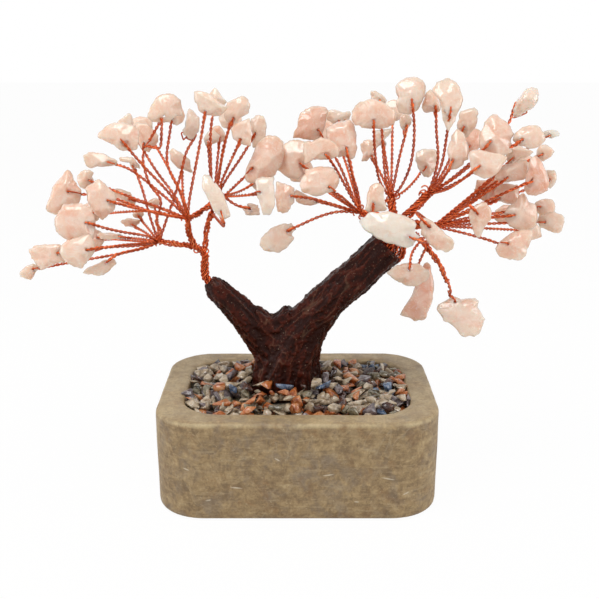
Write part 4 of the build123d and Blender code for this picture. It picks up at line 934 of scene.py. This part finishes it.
        478, 306, 482, 311, 485, 315, 485, 322, 482, 329, 480, 335, 474, 337, 466, 338.5, 461, 337, 457, 330,
        453, 326, 447, 323, 443, 321, 441, 316, 437, 311, 435, 308, 437, 304),
}
ahead = Vector((0, math.cos(pitch), -math.sin(pitch)))
aside = Vector((1, 0, 0))
upward = Vector((0, math.sin(pitch), math.cos(pitch)))
SECTORS = 72


def pixel(spot):
    """Where the camera sees a place: its pixel, and its distance ahead."""
    far = (spot - eye).dot(ahead)
    return Vector((photo_pixels / 2 + lens_pixels * (spot - eye).dot(aside) / far,
                   photo_pixels / 2 - lens_pixels * (spot - eye).dot(upward) / far)), far


def box_middle(spots):
    """The middle of the box round some pixels."""
    return Vector((min(p.x for p in spots) + max(p.x for p in spots),
                   min(p.y for p in spots) + max(p.y for p in spots))) / 2


def reach_to(corners, middle):
    """How far an outline is from its middle in each sector."""
    made = []
    for k in range(SECTORS):
        way = Vector((math.cos(2 * math.pi * k / SECTORS), math.sin(2 * math.pi * k / SECTORS)))
        best = 0.5
        for p, q in zip(corners, corners[1:] + corners[:1]):
            edge, start = q - p, p - middle
            spread = way.x * edge.y - way.y * edge.x
            if abs(spread) > 1e-9:
                share = (start.x * way.y - start.y * way.x) / spread
                far = (start.x * edge.y - start.y * edge.x) / spread
                if 0 <= share <= 1:
                    best = max(best, far)
        made.append(best)
    return made


def in_sector(values, angle):
    """The value at an angle, between those of the two nearest sectors."""
    spot = angle / (2 * math.pi) * SECTORS % SECTORS
    low = int(spot) % SECTORS
    return values[low] + (values[(low + 1) % SECTORS] - values[low]) * (spot - int(spot))


def shaped_chip(form, outline, guard, slim):
    """Breaks and dents a chip's faces, then fills it out to its outline.

    The guard is how many pixels round the bore keep their shape; slim is the share that comes
    off the thickness.
    """
    form.verts.index_update()
    middle = sum((vertex.co for vertex in form.verts), Vector()) / len(form.verts)
    some = [vertex.co for vertex in form.verts if vertex.index % 40 == 0]
    bore_pixel = pixel(min(bore_spots, key=lambda spot: min((place - spot).length for place in some)))[0]
    toward = (eye - middle).normalized()
    across = toward.cross(upward).normalized()
    over = toward.cross(across)
    for front, count in ((1, 4), (-1, 2)):
        start = draw.uniform(0, 6.28)
        for k in range(count):
            turn = start + 2 * math.pi * k / count + draw.uniform(-0.5, 0.5)
            tilt = draw.uniform(0.15, 0.7)
            way = (toward * front * math.cos(tilt)
                   + (across * math.cos(turn) + over * math.sin(turn)) * math.sin(tilt))
            most = max((vertex.co - middle).dot(way) for vertex in form.verts) * draw.uniform(0.74, 0.9)
            for vertex in form.verts:
                excess = (vertex.co - middle).dot(way) - most
                if excess > 0:
                    vertex.co -= way * excess
    smooth(form, 3)
    seen_from = [pixel(vertex.co) for vertex in form.verts]
    centre = box_middle([p for p, _ in seen_from])
    widest = [0.0] * SECTORS
    for p, _ in seen_from:
        angle = math.atan2(p.y - centre.y, p.x - centre.x)
        k = round(angle / (2 * math.pi) * SECTORS) % SECTORS
        widest[k] = max(widest[k], (p - centre).length)
    widest = [max(widest[k - 1], widest[k], widest[(k + 1) % SECTORS]) for k in range(SECTORS)]
    goal, goal_centre = widest, centre
    if outline:
        goal_centre = box_middle(outline)
        goal = reach_to(outline, goal_centre)
    # The share of the way out to the outline, as the camera sees the chip, marks where the shader paints shade
    # along the outline.
    outline_shade_layer, fade = form.verts.layers.float.new("rim"), guard * 0.8 + 2.4
    for vertex, (p, far) in zip(form.verts, seen_from):
        angle = math.atan2(p.y - centre.y, p.x - centre.x)
        share = min(1.0, (p - centre).length / max(in_sector(widest, angle), 0.5))
        vertex[outline_shade_layer] = share
        aim = goal_centre + Vector((math.cos(angle), math.sin(angle))) * share * in_sector(goal, angle)
        loose = max(0.0, min(1.0, ((p - bore_pixel).length - guard) / fade))
        shift = (aim - p) * loose * loose * (3 - 2 * loose)
        vertex.co += (aside * shift.x - upward * shift.y) * far / lens_pixels
    for vertex in form.verts:
        vertex.co -= toward * (vertex.co - middle).dot(toward) * slim
    form.normal_update()
    shift = Vector((draw.uniform(0, 50), draw.uniform(0, 50), draw.uniform(0, 50)))
    for vertex in form.verts:
        dent = noise.noise(vertex.co / (2.6 * MM) + shift) * 0.14
        dent += noise.noise(vertex.co / (1.0 * MM) + shift) * 0.05
        vertex.co += vertex.normal * dent * MM


# Three chips swing close to a twig, so more of their shape round the bore stays, and all the
# chips that swing are a little thinner.
usual_guard = 2.0
GUARDS = {"chip_blocky": 7.0, "chip_long": 12.0, "chip_white": 4.5}
swing_slim = 0.08
farthest_match = 12
chip_net = 0.3
body_of_node = {node: body for body, members in frame["record"]["behaviour"]["bodies"].items()
                for node in members}
for node in sorted(name for name in nodes if name.endswith("_chips") or name.startswith("chip_")):
    form = merged(node)
    form.verts.index_update()
    groups = list(solids_of(form))
    centres = [box_middle([pixel(vertex.co)[0] for vertex in group]) for group in groups]
    family = node if node.startswith("chip_") else node.split("_")[1] + "_"
    outlines = {}
    for key, (shade, *row) in OUTLINE_PIXELS.items():
        if not key.startswith(family):
            continue
        corners = [Vector(spot) for spot in zip(row[0::2], row[1::2])]
        middle = box_middle(corners)
        free = [k for k in range(len(groups)) if k not in outlines]
        nearest = min(free, key=lambda k: (centres[k] - middle).length)
        if (centres[nearest] - middle).length < farthest_match:
            outlines[nearest] = shade, corners
    chips = bmesh.new()
    for attribute in ("tint", "rim"):
        chips.verts.layers.float.new(attribute)
    for k, group in enumerate(groups):
        kept = {vertex.index for vertex in group}
        one = form.copy()
        one.verts.ensure_lookup_table()
        rest = [vertex for vertex in one.verts if vertex.index not in kept]
        bmesh.ops.delete(one, geom=rest, context="VERTS")
        one = even_net(one, chip_net * MM)
        shade, corners = outlines.get(k, (draw.uniform(0.2, 0.6), None))
        guard = GUARDS.get(node, usual_guard)
        shaped_chip(one, corners, guard, swing_slim if node.startswith("chip_") else 0.0)
        layer = one.verts.layers.float.new("tint")
        for vertex in one.verts:
            vertex[layer] = shade
        shell = bpy.data.meshes.new("chip")
        one.to_mesh(shell)
        one.free()
        chips.from_mesh(shell)
        bpy.data.meshes.remove(shell)
    form.free()
    place_piece(chips, "tumbled_" + node, rose, node, body_of_node[node])
